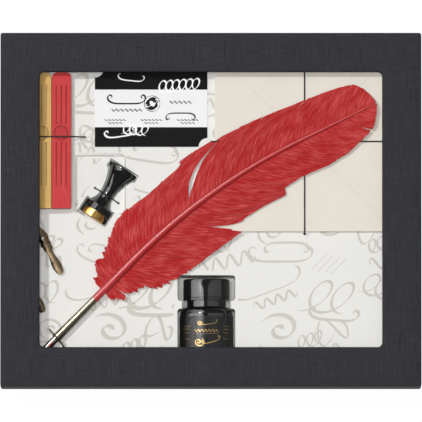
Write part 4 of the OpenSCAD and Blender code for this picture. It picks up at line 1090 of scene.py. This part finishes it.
class CALLIGRAPHY_OT_prints(SetOperator):
    """Prints pen flourishes on the tray, the leaflet and the bottle's label, and draws painted shade lines along the
    envelope's flaps and the shallow well's rim
    """

    bl_idname = "calligraphy.prints"
    bl_label = "Prints"

    def execute(self, context):
        rng = np.random.default_rng(5)
        kinds = (
            lambda: [swash(rng.uniform(34, 48), rng.uniform(5, 7)), moved(swash(30, 5), 4, 8, 180)],
            lambda: [ovals(rng.integers(3, 5), 8.5, 15)],
            lambda: [knot(rng.uniform(26, 34))],
            lambda: drill(rng.integers(4, 7), 4.6, 14),
            lambda: [swash(rng.uniform(38, 50), rng.uniform(3, 4.5)), moved(waves(4, 8, 6), 2, -9)],
            lambda: [spiral(rng.uniform(18, 24), 1.7)],
            lambda: [waves(rng.integers(3, 5), 10, 9), moved(ovals(3, 6, 9), -3, 12)],
            lambda: [ovals(2, 15, 22, 0.5), moved(swash(34, 6), 4, -13)],
            lambda: [spiral(rng.uniform(26, 32), 1.4)],
        )
        strokes = []
        for row, y in enumerate(np.arange(-103, 112, 23)):
            for column, x in enumerate(np.arange(-122, 130, 40)):
                kind = (row * 5 + column * 3) % len(kinds)
                at = x + rng.uniform(-6, 6) + 9 * (row % 2), y + rng.uniform(-4, 4), rng.uniform(-24, 24)
                width = rng.uniform(1.5, 2.4) * (1.5 if kind > 6 else 1)
                strokes += [(moved(line, *at), width) for line in kinds[kind]()]
        # Painted shade: a thin grey line along the rim of the shallow well, past its far edge and down its right side
        rim = bend_route([[-92, 39.3], [-59, 39.3], [-59, -2.1], [-64.2, -2.1]], 4.6, 10)

        disc = (-40.5, 74)
        black = [(moved(swash(26, 7), -58, 76), 1.3), (moved(swash(20, 6), -21, 66, 180), 1.1),
                 (moved(waves(7, 3.2, 1.6), -58, 69.5), 0.7), (moved(waves(5, 3.2, 1.6), -21, 75), 0.7)]
        for x in (-66, -41, -16):
            black += [(moved(waves(count, 2.6, 0.9), x, y), 0.55) for count, y in ((6, 62.6), (4, 60.6))]
        black += [(moved(circle(radius), *disc), width) for radius, width in ((5.4, 0.5), (3.1, 3.4))]
        white = [(moved(ovals(6, 4.6, 8, 0.3), -22, 86.5, 4), 1.3), (moved(swash(22, 7), -62, 53, 8), 1.4),
                 (moved(ovals(4, 4.2, 7, 0.3), -52, 56, -5), 1.1), (moved(swash(9, 6), *disc, 30), 0.8),
                 (moved(swash(18, 4), -55, 91, -6), 1.0)]

        # Painted shade: thin darker lines where the top envelope's flap edges would throw a faint shadow, from its
        # corners towards its middle
        corner, centre = 61.6, 4  # ends of these painted shade lines, from the envelope's middle
        ways = np.array([(a, b) for a in (-1, 1) for b in (-1, 1)])
        fold_shade_lines = [(np.linspace(ENVELOPES + corner * way, ENVELOPES + centre * way, 40), 0.3) for way in ways]

        line = np.linspace(-9, 9, 8)
        gold = [(moved(spiral(4.6, 1.6), -4.6, -77.8, 150), 0.55), (moved(swash(11, 4), 2.2, -78.0, 8), 0.5),
                (moved(waves(7, 2.5, 1.7), 0, -83.2), 0.5), (np.column_stack([line, 0 * line - 85.2]), 0.22),
                (moved(spiral(8.5, 1.7), -5.4, -91.0, 160), 0.95), (moved(swash(13, 5), 3.6, -90.2, 16), 0.85)]
        for x in (-15.6, 15.6):
            gold += [(moved(waves(4, 1.5, 0.5), x, y), 0.28) for y in (-80, -82, -84.4, -88.6)]

        for name, lines, surface, least, body, slot, material in (
            ("Tray_print", strokes, tray_surface, 0.22, "base", "tray", "Pale print"),
            ("Tray_rim_shade", [(rim, 0.5)], flat_surface(TRAY_FACE + 0.02), 1.0, "base", "tray", "Crease shade"),
            ("Leaflet_black_print", black, flat_surface(LEAFLET_FACE + 0.03), 0.45, "base", "leaflet_print",
             "Black print"),
            ("Leaflet_white_print", white, flat_surface(LEAFLET_FACE + 0.06), 0.3, "base", "leaflet_print",
             "White print"),
            ("Envelope_fold_shade", fold_shade_lines, flat_surface(ENVELOPE_FACE + 0.025), 1.0, "envelopes", "envelope_paper",
             "Fold shade"),
            ("Label_print", gold, bottle_surface, 0.4, "bottle", "label_paper", "Gold print"),
        ):
            place(print_strokes(name, lines, surface, least), body, slot, material)
        return {"FINISHED"}


class CALLIGRAPHY_OT_feather(SetOperator):
    """Draws the quill and the barbs of its two vanes"""

    bl_idname = "calligraphy.feather"
    bl_label = "Quill and feather"

    def execute(self, context):
        size = self.size
        plug = 1.9  # radius of the quill's end inside the barrel
        s = np.concatenate([[-18.0, -0.4, 0.0], np.linspace(0.4, QUILL["length"], 90)])
        x, y, _ = quill_place(s)
        radii = np.where(s < -0.1, plug, quill_radius(np.maximum(s, 0)) * np.clip(1 + s / 400, 1, 1.2))
        radii[-1] = 0.12
        points, faces = sweep(pen_to_box(np.column_stack([x, y, 0 * x])), radii, 20)
        place(sharpen(add_mesh("Quill", points, faces), 50), "pen", "feather", "Quill", "quill_shaft")
        spacing = size.barb / MM
        far = vane(
            "Far_vane", 1, size.far_vane / MM / 31.5, FAR_EDGE, None,
            angles=[(8.5, 94), (20, 68), (45, 50), (80, 47)],
            bends=[(0, 0.006), (40, 0.012), (80, 0.021), (100, 0.0235), (238, 0.0235)],
            splits=[(90, 7, 27.5, 3.4, False), (127, 23, 26, 0.8, True), (164, 20, 24, 1.0, True)],
            droop=[(0, 0.3), (20, 1.6), (45, 3.4), (75, 4.2), (104, 4.2), (122, 2.6), (138, 1.0), (238, 1.0)],
            spacing=spacing, seed=7,
        )
        near = vane(
            "Near_vane", -1, size.near_vane / MM / 34, NEAR_LOW_EDGE, NEAR_HIGH_EDGE,
            angles=[(8.5, 100), (18, 70), (36, 46), (80, 45)],
            bends=[(0, 0.002), (PARTING, 0.003), (PARTING + 0.1, 0.0165), (238, 0.02)],
            splits=[(212, 9, 14, 1.0, True)],
            droop=[(0, 0.6), (15, 2.0), (35, 2.8), (60, 1.6), (80, 0.8), (238, 0.9)],
            spacing=spacing, seed=11,
        )
        for piece, node in ((far, "feather_far"), (near, "feather_near")):
            place(piece, "pen", "feather", "Feather", node)
            piece.visible_glossy = False
        return {"FINISHED"}


class CALLIGRAPHY_OT_stage(SetOperator):
    """Lays the pale floor and sets the studio light"""

    bl_idname = "calligraphy.stage"
    bl_label = "Stage"

    def execute(self, context):
        scene = context.scene
        scene.view_settings.view_transform = "Standard"
        ground = Material("Floor")
        shade = ground.group("Paper grain", Colour=(0.4, 0.4, 0.4), Fibres=40.0, Mottling=0.01)
        ground.shade(Base_Color=shade["Colour"], Roughness=1.0, Specular_IOR_Level=0.0)
        glow = ground.node("Emission", {"Color": (1.0, 1.0, 1.0), "Strength": 1.12})
        way = ground.node("LightPath").outputs
        through = ground.larger(way["Is Glossy Ray"], way["Is Transmission Ray"])
        seen = ground.times(ground.larger(way["Is Camera Ray"], through), 0.85)
        mix = ground.node("MixShader", {0: seen, 1: ground.shader.outputs[0], 2: glow.outputs[0]})
        set_inputs(ground.tree, ground.end, {"Surface": mix.outputs[0]})
        half = 20000.0
        corners = [(-half, -half, 0), (half, -half, 0), (half, half, 0), (-half, half, 0)]
        floor = add_mesh("Floor", corners, [(0, 1, 2, 3)])
        floor.data.materials.append(ground.material)

        world = bpy.data.worlds.new("Studio")
        scene.world = world
        world.use_nodes = True
        world.node_tree.nodes.clear()
        sky = Shading(world.node_tree)
        way = sky.node("LightPath").outputs
        seen = sky.larger(way["Is Camera Ray"], way["Is Transmission Ray"])
        around = sky.node("Background", {"Color": (1.0, 0.99, 0.98), "Strength": 0.22})
        white = sky.node("Background", {"Color": (1.0, 1.0, 1.0), "Strength": 1.0})
        mix = sky.node("MixShader", {0: seen, 1: around.outputs[0], 2: white.outputs[0]})
        sky.node("OutputWorld", {"Surface": mix.outputs[0]})

        def lamp(name, kind, way, strength):
            """A lamp that shines in a direction."""
            made = add_object(name, bpy.data.lights.new(name, kind))
            made.data.energy = strength
            made.rotation_euler = Vector(way).to_track_quat("-Z", "Y").to_euler()
            return made

        for name, strength, spread, way, glossy in (
            ("Key", 1.5, 4, (0.53, -0.32, -1), True), ("Top", 1.62, 12, (0.02, 0.05, -1), False),
        ):
            sun = lamp(name, "SUN", way, strength)
            sun.data.angle = np.radians(spread)
            sun.visible_glossy = glossy

        away = 1.5  # distance of the soft lamps in metres
        for name, azimuth, elevation, wide, high, radiance in (
            ("Left strip", 176, 38, 0.3, 2.3, 5.5),
            ("Far left softbox", 143.5, 34, 0.9, 1.9, 3.6),
            ("Upper left softbox", 118, 46, 0.35, 1.0, 4.0),
            ("Right softbox", 4, 45, 0.4, 2.3, 0.9),
        ):
            a, e = np.radians([azimuth, elevation])
            toward = Vector((np.cos(e) * np.cos(a), np.cos(e) * np.sin(a), np.sin(e)))
            box = lamp(name, "AREA", -toward, radiance * np.pi * wide * high)
            box.data.shape = "RECTANGLE"
            box.data.size, box.data.size_y = wide, high
            box.location = away * toward
            box.visible_diffuse = False
        return {"FINISHED"}


OPERATORS = (
    CALLIGRAPHY_OT_camera, CALLIGRAPHY_OT_materials, CALLIGRAPHY_OT_cords, CALLIGRAPHY_OT_covers,
    CALLIGRAPHY_OT_small_pieces, CALLIGRAPHY_OT_prints, CALLIGRAPHY_OT_feather, CALLIGRAPHY_OT_stage,
)


class CALLIGRAPHY_PT_panel(bpy.types.Panel):
    """Sizes, colours and steps of the set, in the 3D view's sidebar"""

    bl_idname = "CALLIGRAPHY_PT_panel"
    bl_label = "Calligraphy Set"
    bl_space_type = "VIEW_3D"
    bl_region_type = "UI"
    bl_category = "Calligraphy Set"

    def draw(self, context):
        settings = context.scene.calligraphy_set
        for name in settings.bl_rna.properties.keys():
            if name not in ("rna_type", "name"):
                self.layout.prop(settings, name)
        for operator in OPERATORS:
            self.layout.operator(operator.bl_idname)


CLASSES = (CalligraphySetSettings, *OPERATORS, CALLIGRAPHY_PT_panel)


def register():
    """Adds the settings, steps and panel to Blender."""
    for each in CLASSES:
        bpy.utils.register_class(each)
    bpy.types.Scene.calligraphy_set = bpy.props.PointerProperty(type=CalligraphySetSettings)


def unregister():
    """Takes them out again."""
    del bpy.types.Scene.calligraphy_set
    for each in reversed(CLASSES):
        bpy.utils.unregister_class(each)


def main():
    """Registers the add-on and draws the set step by step."""
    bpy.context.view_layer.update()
    register()
    for step in (
        bpy.ops.calligraphy.camera, bpy.ops.calligraphy.materials, bpy.ops.calligraphy.cords,
        bpy.ops.calligraphy.covers, bpy.ops.calligraphy.small_pieces, bpy.ops.calligraphy.prints,
        bpy.ops.calligraphy.feather, bpy.ops.calligraphy.stage,
    ):
        step()


if __name__ == "__main__":
    main()
